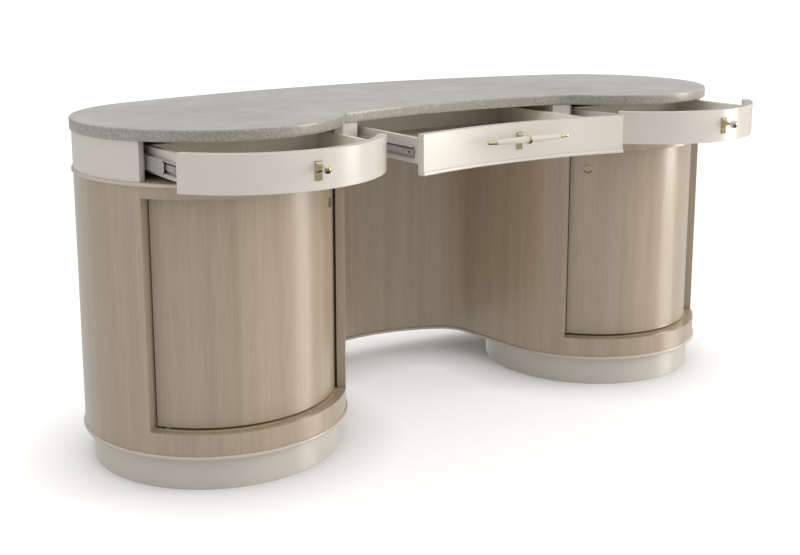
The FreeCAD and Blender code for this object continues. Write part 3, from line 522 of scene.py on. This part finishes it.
print("stock is swept by", sweep.name)

# %% [markdown]
# Sharp edges look wrong because nothing real has them. Edges could be rounded one by one, but a narrow bevel
# that picks them by their angle eases all at once, and each then catches a thin line of light as sanded
# wood and folded metal do.

# %% Eased edges
EASE_ANGLE = math.radians(35)


def ease(piece, width_mm):
    """Bevels the sharp edges of a piece and leaves its round faces smooth."""
    bevel = piece.modifiers.new("eased_edges", "BEVEL")
    bevel.width = width_mm * MM
    bevel.segments = 2
    bevel.limit_method = "ANGLE"
    bevel.angle_limit = EASE_ANGLE
    bevel.harden_normals = True
    bevel.miter_outer = "MITER_ARC"
    shape = bmesh.new()
    shape.from_mesh(piece.data)
    for edge in shape.edges:
        edge.smooth = edge.is_manifold and edge.calc_face_angle(0) < EASE_ANGLE
    shape.to_mesh(piece.data)
    shape.free()
    return piece


print("edges sharper than", round(math.degrees(EASE_ANGLE)), "degrees are eased")

# %% [markdown]
# Flat and odd-shaped pieces come straight from the construction. They could be drawn again, but a copy of
# the CAD mesh has the right size already: it is welded, its flat faces are cleaned, and the bevel does the
# rest. A finished piece is then put in the place of its node: it rides on the node's body and the node is
# hidden.

# %% Copies of the construction
FLAT_ANGLE = math.radians(0.4)
WELD = 0.01 * MM


def body_of(node):
    return frame["nodes"][node]["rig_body"]


def fit_out(piece, slot, *nodes, body=None):
    """Puts a finished piece on its body, in place of the construction nodes it stands for."""
    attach(piece, body or body_of(nodes[0]))
    if nodes:
        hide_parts(*nodes)
    return piece


def welded_copy(node, finish, inner=None, inside=None):
    """A welded copy of a CAD node; faces that inside() picks take the inner finish."""
    mesh = frame["nodes"][node].data.copy()
    mesh.name = node + "_eased"
    mesh.materials.clear()
    mesh.materials.append(finish)
    shape = bmesh.new()
    shape.from_mesh(mesh)
    bmesh.ops.remove_doubles(shape, verts=shape.verts, dist=WELD)
    bmesh.ops.dissolve_limit(shape, angle_limit=FLAT_ANGLE, verts=shape.verts, edges=shape.edges)
    for face in shape.faces:
        face.smooth = True
        face.material_index = int(bool(inner) and inside(face))
    if inner:
        mesh.materials.append(inner)
    shape.to_mesh(mesh)
    shape.free()
    if "custom_normal" in mesh.attributes:
        mesh.attributes.remove(mesh.attributes["custom_normal"])
    return linked(node + "_eased", mesh)


def eased_copy(node, finish, slot, ease_mm, **inner):
    """A welded copy of a CAD node with its edges eased, in place of the node."""
    return fit_out(ease(welded_copy(node, finish, **inner), ease_mm), slot, node)


print("points closer than", WELD / MM, "mm are welded")

# %% [markdown]
# The bent boards are end panels, aprons, drawer fronts, the back and the plinth rings. On the real desk
# thin plies are glued over a round mould. Here each is one rectangle swept along its circle, with radius,
# thickness, ends and heights read from the construction.

# %% Bent boards
ARC_STEP = 7 * MM


def arc(centre, radius, start, end):
    """Points along a circle, ends included, about ARC_STEP apart."""
    steps = max(2, math.ceil(radius * math.radians(abs(end - start)) / ARC_STEP))
    return [on_circle(centre, radius, start + (end - start) * i / steps) for i in range(steps + 1)]


def board_section(thick, low, high):
    return [(-thick, low), (-thick, high), (0, high), (0, low)]


def bent_board(node, centre, facing, finish, slot, ease_mm):
    radius, thick, start, end, low, high = board_of(node, centre, facing)
    run = arc(centre, radius, start, end)
    piece = swept(node + "_bent", [run], board_section(thick, low, high), finish)
    return fit_out(ease(piece, ease_mm), slot, node)


for side, axis, facing in (("left", LEFT_DRUM, -90), ("right", RIGHT_DRUM, 90)):
    bent_board(side + "_apron", axis, facing, cream_lacquer, "cream_lacquer", ease_mm=0.9)
    bent_board(side + "_end_panel", axis, facing, taupe_veneer, "taupe_veneer", ease_mm=0.5)
    drawer_axis = axis - Vector((0, OPENED[side + "_drawer"], 0))
    bent_board(side + "_drawer_front", drawer_axis, 0, cream_lacquer, "cream_lacquer", ease_mm=1.2)
    radius, thick, start, end, low, high = board_of(side + "_plinth", axis, 0)
    ring = swept(side + "_plinth_ring", [arc(axis, radius, 0, 360)[:-1]],
                 board_section(thick, low, high), plinth_lacquer, closed=True)
    fit_out(ease(ring, width_mm=1.0), "plinth_lacquer", side + "_plinth")
bent_board("back_apron", BACK_AXIS, 180, cream_lacquer, "cream_lacquer", ease_mm=0.9)
bent_board("back_panel", BACK_AXIS, 180, taupe_veneer, "taupe_veneer", ease_mm=0.5)
print("bent boards about", round(SKIN / MM), "mm thick")

# %% [markdown]
# The kneehole wall is one long board too, only its path is richer: it leaves the left pedestal, runs
# straight, turns a tight corner, bows along the back and comes round the same way on the right. Five boards
# side by side would be easier to lay out, but the real wall is bent in one and shows no joint.

# %% Kneehole wall
KNEE_LEAVE = 85.0            # degrees from the front where the wall leaves the pedestal's round
KNEE_CORNER_R = 95 * MM
KNEE_BACK_R = 450 * MM
knee_low, knee_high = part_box("kneehole_panel")
KNEE_AXIS = Vector((0, knee_high.y - SKIN - KNEE_BACK_R, 0))


def knee_corner():
    """Centre of the right corner: it touches the straight wall and the bowed back."""
    across = on_circle(Vector((0, 0, 0)), 1, -KNEE_LEAVE)
    along = Vector((across.y, -across.x, 0))
    start = on_circle(RIGHT_DRUM, FACE_R, -KNEE_LEAVE) + across * KNEE_CORNER_R
    offset = start - KNEE_AXIS
    lean = offset.dot(along)
    reach = KNEE_BACK_R - KNEE_CORNER_R
    return start + along * (math.sqrt(lean ** 2 - offset.length_squared + reach ** 2) - lean)


def mirrored(points):
    return [Vector((-p.x, p.y, p.z)) for p in reversed(points)]


def joined(*runs):
    """One run of points from several that meet end to end."""
    points = [runs[0][0]]
    for run in runs:
        points += [p for p in run if (p - points[-1]).length > WELD]
    return points


def knee_path(proud):
    """The right half from the middle of the back to the opening, and its mirror image before it."""
    corner = knee_corner()
    turn = 180 - math.degrees(math.asin(corner.x / (KNEE_BACK_R - KNEE_CORNER_R)))
    back = arc(KNEE_AXIS, KNEE_BACK_R - proud, 180, turn)
    bend = arc(corner, KNEE_CORNER_R - proud, turn, 180 - KNEE_LEAVE)
    side = arc(RIGHT_DRUM, FACE_R + proud, -KNEE_LEAVE, -OPENING)
    right = joined(back, bend, side)
    return joined(mirrored(right), right)


wall = swept("kneehole_wall", [knee_path(0)], board_section(SKIN, knee_low.z, knee_high.z), taupe_veneer)
fit_out(ease(wall, width_mm=0.5), "taupe_veneer", "kneehole_panel")
print("kneehole wall", len(wall.data.polygons), "faces")

# %% [markdown]
# A Boolean takes one shape out of another, as a drill or a router does. Holes could be drawn into the mesh
# by hand, but on bent boards a cutter is simpler and sits where the tool would sit. The cut faces take the
# cutter's finish, so a groove can be lined with another material. The frame's parts touch each other, and
# use_self lets the Boolean cope with that.

# %% Drill and router
def punch(piece, cutter):
    """Cuts the cutter's shape out of a piece and removes the cutter."""
    bite = piece.modifiers.new("punched", "BOOLEAN")
    bite.object = cutter
    bite.operation = "DIFFERENCE"
    bite.solver = "EXACT"
    bite.use_self = True
    bite.material_mode = "TRANSFER"
    keep_result(piece, bite)
    bpy.data.objects.remove(cutter)
    return piece


def meshed(name, shape):
    """A linked object with the mesh that was drawn in a bmesh."""
    mesh = bpy.data.meshes.new(name)
    shape.to_mesh(mesh)
    shape.free()
    return linked(name, mesh)


def round_bars(name, ends, radius, sides=32):
    """Closed round bars, one for each pair of end points above each other."""
    shape = bmesh.new()
    for low, high in ends:
        made = bmesh.ops.create_cone(shape, cap_ends=True, segments=sides, radius1=radius,
                                     radius2=radius, depth=(high - low).length)
        bmesh.ops.translate(shape, verts=made["verts"], vec=(low + high) / 2)
    return meshed(name, shape)


print("cutters for bores and grooves")

# %% [markdown]
# Doors hang in the openings on hidden pivot pins. The door is a bent board as well, but its ends are bored
# for the two bushes. The free edge closes with a fine gap, and a groove runs round the frame where the door's
# face meets it, except on the hinge side. The groove is lined with dark rubber, which is painted shade: seen
# past the door's edge, it is the thin dark line of the shadow gap that sets the door off. A line painted on
# the face would do the same from one side only.

# %% Doors
BORE_PLAY = 0.1 * MM
BORE_DEEP = 14.5 * MM
FREE_GAP = 0.6 * MM
DOOR_GAP = 3.5 * MM          # between the solid door and its frame
DOOR_BACK = 4 * MM           # the veneered face lies this far behind the solid door's face
DOOR_LIFT = 2.5 * MM         # and its lower edge this far above the solid door's edge
GROOVE_DEEP = 6 * MM
GROOVE_WIDE = 9 * MM


def hung_door(side, axis, hinge):
    """The bent and bored door; hinge is -1 where it hangs on its left edge and 1 on its right."""
    radius, thick, start, end, low, high = board_of(side + "_door", axis, 0)
    hinge_turn = hinge * max(-start, end)
    free_turn = -hinge * (OPENING - math.degrees(FREE_GAP / radius))
    run = arc(axis, radius - DOOR_BACK, *sorted((hinge_turn, free_turn)))
    section = board_section(half_mm(thick) - DOOR_BACK, low + DOOR_LIFT, high)
    door = swept(side + "_door_bent", [run], section, taupe_veneer)
    bush_low, bush_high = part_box(side + "_hinge_bushes")
    pin = (bush_low + bush_high) / 2
    heights = [(z, z + BORE_DEEP) for z in (low - MM, high + MM - BORE_DEEP)]
    bores = [(Vector((pin.x, pin.y, foot)), Vector((pin.x, pin.y, head))) for foot, head in heights]
    punch(door, round_bars("bores", bores, (bush_high.x - bush_low.x) / 2 + BORE_PLAY))
    return fit_out(ease(door, width_mm=0.6), "taupe_veneer", side + "_door")


def frame_with_painted_shade_groove(side, axis, hinge):
    """The door frame with a groove routed along its head, sill and free jamb, lined with dark rubber as
    painted shade.
    """
    radius, thick, start, end, low, high = board_of(side + "_door", axis, 0)
    free_turn = -hinge * (OPENING + math.degrees(GROOVE_DEEP / radius))
    run = arc(axis, FACE_R - SKIN + WELD, *sorted((hinge * max(-start, end), free_turn)))
    room = DOOR_GAP + GROOVE_DEEP
    # The groove's cut faces take the dark rubber: painted shade in the gap round the door.
    groove = swept("groove", [run], board_section(GROOVE_WIDE, low - room, high + room), painted_gap_shade_rubber)
    door_frame = punch(welded_copy(side + "_door_frame", taupe_veneer), groove)
    return fit_out(ease(door_frame, width_mm=0.5), "taupe_veneer", side + "_door_frame")


for side, axis, hinge in (("left", LEFT_DRUM, -1), ("right", RIGHT_DRUM, 1)):
    door = hung_door(side, axis, hinge)
    door_frame = frame_with_painted_shade_groove(side, axis, hinge)
    print(side, "door", len(door.data.polygons), "faces, frame", len(door_frame.data.polygons))

# %% [markdown]
# The hollow front of the middle drawer has a small moulded lip along its lower edge. The section carries
# the lip, the path is the hollow circle, and the ends are trimmed square as a saw would do. The lip could be
# a strip of its own, but one section leaves no seam in the lacquer.

# %% Middle drawer front
LIP_TALL = 8 * MM
LIP_PROUD = 4 * MM
NOSE_SHARE = 0.45            # nose radius as a share of the moulding's height
NOSE_STEPS = 6


def nose(proud, low, high):
    """The rounded outer side of a moulding, from its lower to its upper edge."""
    radius = (high - low) * NOSE_SHARE
    turns = [math.pi / 2 * i / NOSE_STEPS for i in range(NOSE_STEPS + 1)]
    lower = [(proud - radius + radius * math.sin(t), low + radius - radius * math.cos(t)) for t in turns]
    upper = [(proud - radius + radius * math.cos(t), high - radius + radius * math.sin(t)) for t in turns]
    return lower + upper


def trim_ends(piece, half_width):
    for vertex in piece.data.vertices:
        vertex.co.x = max(-half_width, min(half_width, vertex.co.x))


front_axis = HOLLOW_AXIS - Vector((0, OPENED["centre_drawer"], 0))
face_r = HOLLOW_R + LIP_PROUD
half_turn = math.degrees(math.asin(front_high.x / HOLLOW_R))
front_thick = max(math.hypot(v.co.x, v.co.y - front_axis.y)
                  for v in frame["nodes"]["centre_drawer_front"].data.vertices) - face_r
lip = nose(LIP_PROUD, front_low.z, front_low.z + LIP_TALL) + [(0, front_low.z + LIP_TALL)]
front_section = [(-front_thick, front_high.z), (-front_thick, front_low.z)] + lip + [(0, front_high.z)]
front = swept("centre_drawer_front_bent", [arc(front_axis, face_r, 180 + half_turn, 180 - half_turn)],
              front_section, cream_lacquer)
trim_ends(front, front_high.x)
fit_out(ease(front, width_mm=0.9), "cream_lacquer", "centre_drawer_front")
eased_copy("divider_posts", cream_lacquer, "cream_lacquer", ease_mm=0.9)
print("middle front", round(2 * front_high.x / MM), "mm wide,", round(front_thick / MM), "mm thick")

# %% [markdown]
# Two slim mouldings circle the desk, one above the plinths and one below the drawers. A moulding is the
# plainest case of a section that follows a path: a flat strip with a rounded nose. A bevel on the boards
# could give such an edge too, but not one that stands proud of them.

# %% Mouldings
BEAD_PROUD = 4 * MM
POST_WIDTH = 42 * MM         # the upper moulding returns along the face of each divider post


def lobes_and_back(proud, start, end):
    """Round the right pedestal, along the back and round the left pedestal."""
    right = arc(RIGHT_DRUM, FACE_R + proud, start, BACK_TURN)
    back = arc(BACK_AXIS, BACK_R - (TOP_R - FACE_R) + proud, BACK_TURN, 360 - BACK_TURN)
    left = arc(LEFT_DRUM, FACE_R + proud, 360 - BACK_TURN, end)
    return joined(right, back, left)


def bead_section(node):
    low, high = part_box(node)
    strip = SKIN + BEAD_PROUD
    return [(-strip, high.z), (-strip, low.z)] + nose(0, low.z, high.z)


returns = []
for side in (-1, 1):
    ends = sorted(side * x for x in (kink.x - POST_WIDTH, kink.x))
    turns = [180 - math.degrees(math.asin(x / HOLLOW_R)) for x in ends]
    returns.append(arc(HOLLOW_AXIS, HOLLOW_R, *turns))
upper_bead = swept("upper_moulding", [lobes_and_back(BEAD_PROUD, -OPENING, 360 + OPENING)] + returns,
                   bead_section("apron_bead"), bead_lacquer)
fit_out(ease(upper_bead, width_mm=0.3), "bead_lacquer", "apron_bead")
base_run = joined(lobes_and_back(BEAD_PROUD, -OPENING, 360 + OPENING), knee_path(BEAD_PROUD))
base_bead = swept("base_moulding", [base_run[:-1]], bead_section("base_bead"), bead_lacquer, closed=True)
fit_out(ease(base_bead, width_mm=0.3), "bead_lacquer", "base_bead")
print("mouldings", len(upper_bead.data.polygons), "and", len(base_bead.data.polygons), "faces")

# %% [markdown]
# The stone is built from rings, one above the other, like the contour lines of a map. A sawn edge is
# never quite even, so each ring is pushed in by a little noise, most of all along the upper arris, where
# stone chips first. The pushes only go inwards, and the slab keeps its size. A bevel would be simpler and
# far too even.

# %% Outline and rows of the stone
ARRIS = 3 * MM
ARRIS_STEPS = 5
EDGE_ROWS = 6
EDGE_CHIP = 0.25 * MM
ARRIS_CHIP = 0.9 * MM
CHIP_SIZES = (26 * MM, 7 * MM)
COARSE_CHIP = 0.3            # shares of a chip's depth that come and go with the noise
FINE_CHIP = 0.2
HOLD = 4.5 * MM              # width of the flat ring that keeps the arris round


def kidney():
    """The stone's outline, counter-clockwise."""
    lobes = joined(arc(RIGHT_DRUM, TOP_R, -OPENING, BACK_TURN),
                   arc(BACK_AXIS, BACK_R, BACK_TURN, 360 - BACK_TURN),
                   arc(LEFT_DRUM, TOP_R, 360 - BACK_TURN, 360 + OPENING))
    kink_turn = math.degrees(math.asin(kink.x / HOLLOW_R))
    return joined(lobes, arc(HOLLOW_AXIS, HOLLOW_R, 180 + kink_turn, 180 - kink_turn))[:-1]


def edge_rows():
    """Inset, height and chip depth of each ring, from the underside to the top."""
    foot = stone_low.z + ARRIS / 3
    top = stone_high.z - ARRIS
    span = top - stone_low.z - ARRIS / 3
    rows = [(ARRIS / 3, stone_low.z, 0)]
    for i in range(EDGE_ROWS):
        rows.append((0, foot + span * i / (EDGE_ROWS - 1), EDGE_CHIP))
    for i in range(1, ARRIS_STEPS + 1):
        turn = math.pi / 2 * i / ARRIS_STEPS
        chip = ARRIS_CHIP if i < ARRIS_STEPS else EDGE_CHIP
        rows.append((ARRIS * (1 - math.cos(turn)), top + ARRIS * math.sin(turn), chip))
    return rows + [(ARRIS + HOLD, stone_high.z, 0)]


def chip_at(point, depth):
    """How far the edge is pushed in at a point: half of the depth, and more or less by the noise."""
    coarse, fine = (noise.noise(point / size) for size in CHIP_SIZES)
    return depth * (0.5 + COARSE_CHIP * coarse + FINE_CHIP * fine)


print("stone edge in", len(edge_rows()), "rows")

# %% [markdown]
# The rings are joined by a wall of small faces, and one face closes the slab below and above. A ring's points
# move along the line that stands square to the outline, which the neighbours on both sides give.

# %% Stone top
outline = kidney()
slab = bmesh.new()
rings = []
for inset, height, chip in edge_rows():
    ring = []
    for i, point in enumerate(outline):
        ahead = outline[(i + 1) % len(outline)] - outline[i - 1]
        inwards = Vector((-ahead.y, ahead.x, 0)).normalized()
        spot = point + Vector((0, 0, height))
        ring.append(slab.verts.new(spot + inwards * (inset + chip_at(spot, chip))))
    rings.append(ring)
for lower, upper in zip(rings, rings[1:]):
    for i in range(len(outline)):
        slab.faces.new((lower[i - 1], lower[i], upper[i], upper[i - 1])).smooth = True
slab.faces.new(reversed(rings[0]))
slab.faces.new(rings[-1])
stone = meshed("stone_slab", slab)
stone.data.materials.append(honed_stone)
fit_out(stone, "stone", "stone_top")
print("stone", len(outline), "points round its edge,", len(rings), "rings")

# %% [markdown]
# Inside stand flat boards of birch ply, and the drawers are plain boxes: cream on the outside like their
# fronts, with a stained lining inside that is made lighter than its own tone as painted light for the shade
# in the drawers. The two finishes of the sides are told apart by which way a face looks,
# because a second skin over each board would leave an edge that the real one lacks.

# %% Carcass boards and drawer boxes
SIDEWAYS = 0.05              # how clearly a face has to look at the drawer's middle


def looks_inwards(node):
    """A test that picks the faces of two drawer sides that look at each other."""
    low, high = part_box(node)
    middle = (low.x + high.x) / 2
    least = SIDEWAYS * abs(middle - high.x)
    return lambda face: face.normal.x * (middle - face.calc_center_median().x) > least


for node in ("deck_board", "base_board", "cabinet_floors", "cabinet_partitions", "shelves",
             "runner_boards"):
    eased_copy(node, carcass_ply, "carcass_ply", ease_mm=0.4)
for side in ("left", "centre", "right"):
    sides = side + "_drawer_sides"
    eased_copy(sides, cream_lacquer, "cream_lacquer", ease_mm=1.0, inner=drawer_lining,
               inside=looks_inwards(sides))
    eased_copy(side + "_drawer_back", drawer_lining, "drawer_lining", ease_mm=0.6)
    eased_copy(side + "_drawer_bottom", drawer_lining, "drawer_lining", ease_mm=0.3)
print("carcass boards and three drawer boxes")

# %% [markdown]
# Screws, bosses, punched holes and end buffers repeat along the slides. Each could be put in place by hand.
# Instead a second Geometry Nodes tree sets one small shape on every point of a list and turns it to face
# the way that the point says, so that the pitch stays even.

# %% Repeat tree
repeat, start = new_tree("shape_on_points", Shape="NodeSocketObject", Finish="NodeSocketMaterial")
facing = add(repeat, "GeometryNodeInputNamedAttribute", {"Name": "facing"}, data_type="FLOAT_VECTOR")
turned = add(repeat, "FunctionNodeAlignRotationToVector", {"Vector": facing}, axis="Z")
single = add(repeat, "GeometryNodeObjectInfo", {"Object": start.outputs["Shape"]}).outputs["Geometry"]
points = add(repeat, "GeometryNodeMeshToPoints", {"Mesh": start.outputs["Geometry"]})
placed = add(repeat, "GeometryNodeInstanceOnPoints", {"Points": points, "Instance": single,
                                                      "Rotation": turned})
end_tree(repeat, start, placed)


def repeated(name, shape, places, finish):
    """The shape at each (point, direction) of places; the shape's Z axis takes the direction."""
    mesh = bpy.data.meshes.new(name)
    mesh.from_pydata([point for point, direction in places], [], [])
    attribute = mesh.attributes.new("facing", "FLOAT_VECTOR", "POINT")
    for item, (point, direction) in zip(attribute.data, places):
        item.vector = direction
    piece = settle(linked(name, mesh), repeat, Shape=shape, Finish=finish)
    bpy.data.objects.remove(shape)
    return piece


print("repeat tree with", len(repeat.nodes), "nodes")

# %% [markdown]
# The small shapes that the tree repeats are stacks of rings: round for screws and bosses, long with round
# ends for slots, square for buffers. A primitive cylinder has no dome or socket, and a stack of rings gives
# any turned shape with few faces.

# %% Small shapes
def small_shape(name, rings):
    """A closed shape from rings of points, capped at both ends, for the repeat tree to copy."""
    shape = bmesh.new()
    loops = [[shape.verts.new(point) for point in ring] for ring in rings]
    for lower, upper in zip(loops, loops[1:]):
        for i in range(len(lower)):
            shape.faces.new((lower[i - 1], lower[i], upper[i], upper[i - 1]))
    shape.faces.new(reversed(loops[0]))
    shape.faces.new(loops[-1])
    bmesh.ops.recalc_face_normals(shape, faces=shape.faces)
    return meshed(name, shape)


def disc(radius, height, sides=20):
    return [(radius * math.cos(t), radius * math.sin(t), height)
            for t in (2 * math.pi * i / sides for i in range(sides))]


def turned_shape(name, radius, tall, rings, sides=20):
    """A turned shape; each ring is a share of the radius and a share of the height."""
    return small_shape(name, [disc(radius * out, tall * up, sides) for out, up in rings])


def slot_ring(length, width, height, steps=8):
    """An upright slot's outline with round ends, long side along Y."""
    ring = []
    for end, first in ((1, 0.0), (-1, math.pi)):
        for i in range(steps + 1):
            turn = first + math.pi * i / steps
            middle = end * (length - width) / 2
            ring.append((width / 2 * math.cos(turn), middle + width / 2 * math.sin(turn), height))
    return ring


def block(name, size):
    """A block about its middle."""
    corners = ((-1, -1), (1, -1), (1, 1), (-1, 1))
    return small_shape(name, [[(x * size[0] / 2, y * size[1] / 2, z * size[2] / 2) for x, y in corners]
                              for z in (-1, 1)])


print("small shapes with", len(disc(1, 0)), "points round a screw")

# %% [markdown]
# Each drawer runs on two full-extension slides: a fixed rail, a middle member and a drawer member, all
# bent from zinc-plated strip. The section is drawn as the strip's middle line and given its thickness, as
# a press brake does. It could be drawn as an outline, but then every bend would have to be worked out twice.

# %% Slide sections
METAL = 1.2 * MM
EMBOSS = 0.8 * MM
RIB_RISE = 4.0 * MM


def strip_section(middle_line):
    """Outline of bent strip: half the metal on each side of its middle line."""
    line = [Vector(p) for p in middle_line]
    ways = [(b - a).normalized() for a, b in zip(line, line[1:])]
    sides = ([], [])
    for i, point in enumerate(line):
        before = ways[max(i - 1, 0)]
        after = ways[min(i, len(ways) - 1)]
        normal = (before + after).orthogonal() / (1 + before.dot(after))
        for side, row in zip((1, -1), sides):
            row.append(tuple(point + side * METAL / 2 * normal))
    return sides[0] + sides[1][::-1]


def channel_line(depth, low, high, rise, share_low, share_high):
    """Middle line of a channel: web at 0, flanges out to depth, a pressed band in its web."""
    web = METAL / 2
    half = (high - low) / 2
    centre = (high + low) / 2
    upper = [(depth, half - web), (web, half - web), (web, half * share_high),
             (web + rise, half * share_low)]
    lower = [(out, -up) for out, up in reversed(upper)]
    return [(out, centre + up) for out, up in upper + lower]


def two_runs(web_low, web_high, y_low, y_high, opening):
    """Paths of a pair of slides whose flanges open towards each other, or away with opening -1."""
    near = [Vector((web_low, y_low, 0)), Vector((web_low, y_high, 0))]
    far = [Vector((web_high, y_high, 0)), Vector((web_high, y_low, 0))]
    return [run if opening > 0 else run[::-1] for run in (near, far)]


print("strip", METAL / MM, "mm thick")

# %% [markdown]
# Holes and screws keep one pitch from the front end of a slide to its back. The holes of a row are cut at
# once: the repeat tree sets out the cutters, and one Boolean takes them all away, as a punch press does.

# %% Punched rows
PITCH = 96 * MM
PUNCH_REACH = 3 * MM


def along_slide(low, high, first):
    """Steps of one pitch from the front end to the back end."""
    count = int((high.y - low.y - first) / PITCH) + 1
    return [low.y + first + PITCH * i for i in range(count)]


def punched_rows(piece, low, high, size, first, faces):
    """Punches a row of slots through the webs at these X places."""
    cutter = small_shape("slot", [slot_ring(*size, -PUNCH_REACH), slot_ring(*size, PUNCH_REACH)])
    level = (low.z + high.z) / 2
    places = [(Vector((x, y, level)), Vector((1, 0, 0)))
              for x in faces for y in along_slide(low, high, first)]
    return punch(piece, repeated("slot_row", cutter, places, zinc_steel))


print("holes every", round(PITCH / MM), "mm")

# %% [markdown]
# The middle member carries windows, a round boss near its front end and grey buffers on the end itself,
# which stop the drawer softly. Boss and buffers are pieces of their own, so that they keep a crisp foot.

# %% Middle members
FLANGE = 9.5 * MM
MIDDLE_BAND = (0.62, 0.7)    # where the pressed band starts and ends, as shares of half the height
WINDOW = (24 * MM, 11 * MM)
FIRST_BOSS = 34 * MM
FIRST_WINDOW = FIRST_BOSS + PITCH
BOSS = (5.2 * MM, 1.1 * MM)
BOSS_RINGS = ((1.0, 0.0), (0.85, 0.8), (0.6, 1.0))
BUFFER = (1.4 * MM, 4.0 * MM, 9.0 * MM)
BUFFER_APART = 0.56          # share of its height that each buffer lies above or below the middle


def middle_members(side):
    """The two middle members of a drawer with their bosses and buffers."""
    node = side + "_slide_middles"
    low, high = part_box(node)
    level = (low.z + high.z) / 2
    line = channel_line(FLANGE, low.z, high.z, EMBOSS, *MIDDLE_BAND)
    runs = two_runs(low.x, high.x, low.y, high.y, 1)
    members = swept(side + "_middle_members", runs, strip_section(line), zinc_steel)
    punched_rows(members, low, high, WINDOW, FIRST_WINDOW, (low.x, high.x))
    fit_out(ease(members, width_mm=0.25), "zinc_steel", node)
    spots = [(Vector((x, low.y + FIRST_BOSS, level)), Vector((s, 0, 0)))
             for x, s in ((low.x + EMBOSS, -1), (high.x - EMBOSS, 1))]
    boss = turned_shape("boss", *BOSS, BOSS_RINGS)
    bosses = repeated(side + "_slide_bosses", boss, spots, zinc_steel)
    fit_out(bosses, "zinc_steel", body=body_of(node))
    front = low.y - BUFFER[1] / 2
    heights = [level + up * BUFFER[2] * BUFFER_APART for up in (-1, 1)]
    spots = [(Vector((x + s * BUFFER[0] / 2, front, z)), Vector((0, 0, 1)))
             for x, s in ((low.x, 1), (high.x, -1)) for z in heights]
    buffers = repeated(side + "_slide_buffers", block("buffer", BUFFER), spots, catch_plastic)
    fit_out(ease(buffers, width_mm=0.4), "catch_plastic", body=body_of(node))
    return members


print("middle members", round(FLANGE / MM, 1), "mm deep")

# %% [markdown]
# The drawer member is screwed to the drawer's side through a tall pressed rib. Its flanges open the other
# way, towards the middle member. The screws have low domed heads with a shallow socket.

# %% Drawer members
RIB_BAND = (0.45, 0.6)
SLOT = (9 * MM, 5 * MM)
FIRST_SLOT = 14 * MM
FIRST_SCREW = 44 * MM
SCREW = (3.6 * MM, 1.5 * MM)
SCREW_RINGS = ((1.0, 0.0), (1.0, 0.4), (0.9, 0.75), (0.6, 1.0), (0.42, 1.0), (0.34, 0.4))


def drawer_members(side):
    """The two drawer members with their screws."""
    node = side + "_slide_inners"
    low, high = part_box(node)
    level = (low.z + high.z) / 2
    wide_low, wide_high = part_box(side + "_drawer_sides")
    web_low = wide_low.x
    web_high = wide_high.x
    line = channel_line(web_low - low.x, low.z, high.z, RIB_RISE, *RIB_BAND)
    runs = two_runs(web_low, web_high, low.y, high.y, -1)
    members = swept(side + "_drawer_members", runs, strip_section(line), zinc_steel)
    rib = RIB_RISE + METAL / 2
    punched_rows(members, low, high, SLOT, FIRST_SLOT, (web_low - rib, web_high + rib))
    fit_out(ease(members, width_mm=0.25), "zinc_steel", node)
    seat = RIB_RISE + METAL
    spots = [(Vector((x, y, level)), Vector((s, 0, 0)))
             for x, s in ((web_low - seat, -1), (web_high + seat, 1))
             for y in along_slide(low, high, FIRST_SCREW)]
    head = turned_shape("screw_head", *SCREW, SCREW_RINGS)
    screws = repeated(side + "_slide_screws", head, spots, zinc_steel)
    fit_out(screws, "zinc_steel", body=body_of(node))
    return members


for side in ("left", "centre", "right"):
    members = (middle_members(side), drawer_members(side))
    print(side, "slides", sum(len(piece.data.polygons) for piece in members), "faces")
eased_copy("slide_rails", zinc_steel, "zinc_steel", ease_mm=0.25)

# %% [markdown]
# Pins, pegs, feet, catches, knobs and handle are turned or cast on the real desk. They could be turned again
# with Spin, but their construction meshes are fine enough, so a welded copy with its finish is all they need.

# %% Small hardware
for node in ("shelf_pegs", "hinge_pins", "levelling_feet", "left_hinge_bushes", "right_hinge_bushes"):
    eased_copy(node, zinc_steel, "zinc_steel", ease_mm=0.2)
eased_copy("door_catches", catch_plastic, "catch_plastic", ease_mm=0.5)
for node in ("left_knob_plate", "right_knob_plate", "left_knob_cap", "right_knob_cap", "handle_plate",
             "handle_ring", "handle_tips"):
    eased_copy(node, champagne_brass, "brass", ease_mm=0.15)
for node in ("left_knob", "right_knob", "handle_bar"):
    eased_copy(node, cream_enamel, "cream_enamel", ease_mm=0.15)
print("pins, pegs, feet, catches, knobs and handle dressed")

# %% [markdown]
# The door pulls are thin dished discs of brass: rings of points from the rim to the middle. The construction
# has plain discs, which would stand too far out, so each is turned here and set on the door's face by the
# repeat tree.

# %% Door pulls
PULL_SIDES = 48
PULL_RINGS_MM = ((11.6, -0.6), (11.6, 0.9), (11.2, 1.4), (10.4, 1.6), (9.6, 1.3), (7.0, 1.1),
                 (3.5, 1.0), (0.4, 1.0))
for side, axis in (("left", LEFT_DRUM), ("right", RIGHT_DRUM)):
    low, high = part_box(side + "_pull")
    middle = (low + high) / 2
    outwards = Vector((middle.x - axis.x, middle.y - axis.y, 0)).normalized()
    face_r = board_of(side + "_door", axis, 0)[0] - DOOR_BACK
    seat = Vector((axis.x, axis.y, middle.z)) + outwards * face_r
    dish = turned_shape("dish", MM, MM, PULL_RINGS_MM, PULL_SIDES)
    pull = repeated(side + "_dished_pull", dish, [(seat, outwards)], champagne_brass)
    fit_out(ease(pull, width_mm=0.1), "brass", side + "_pull")
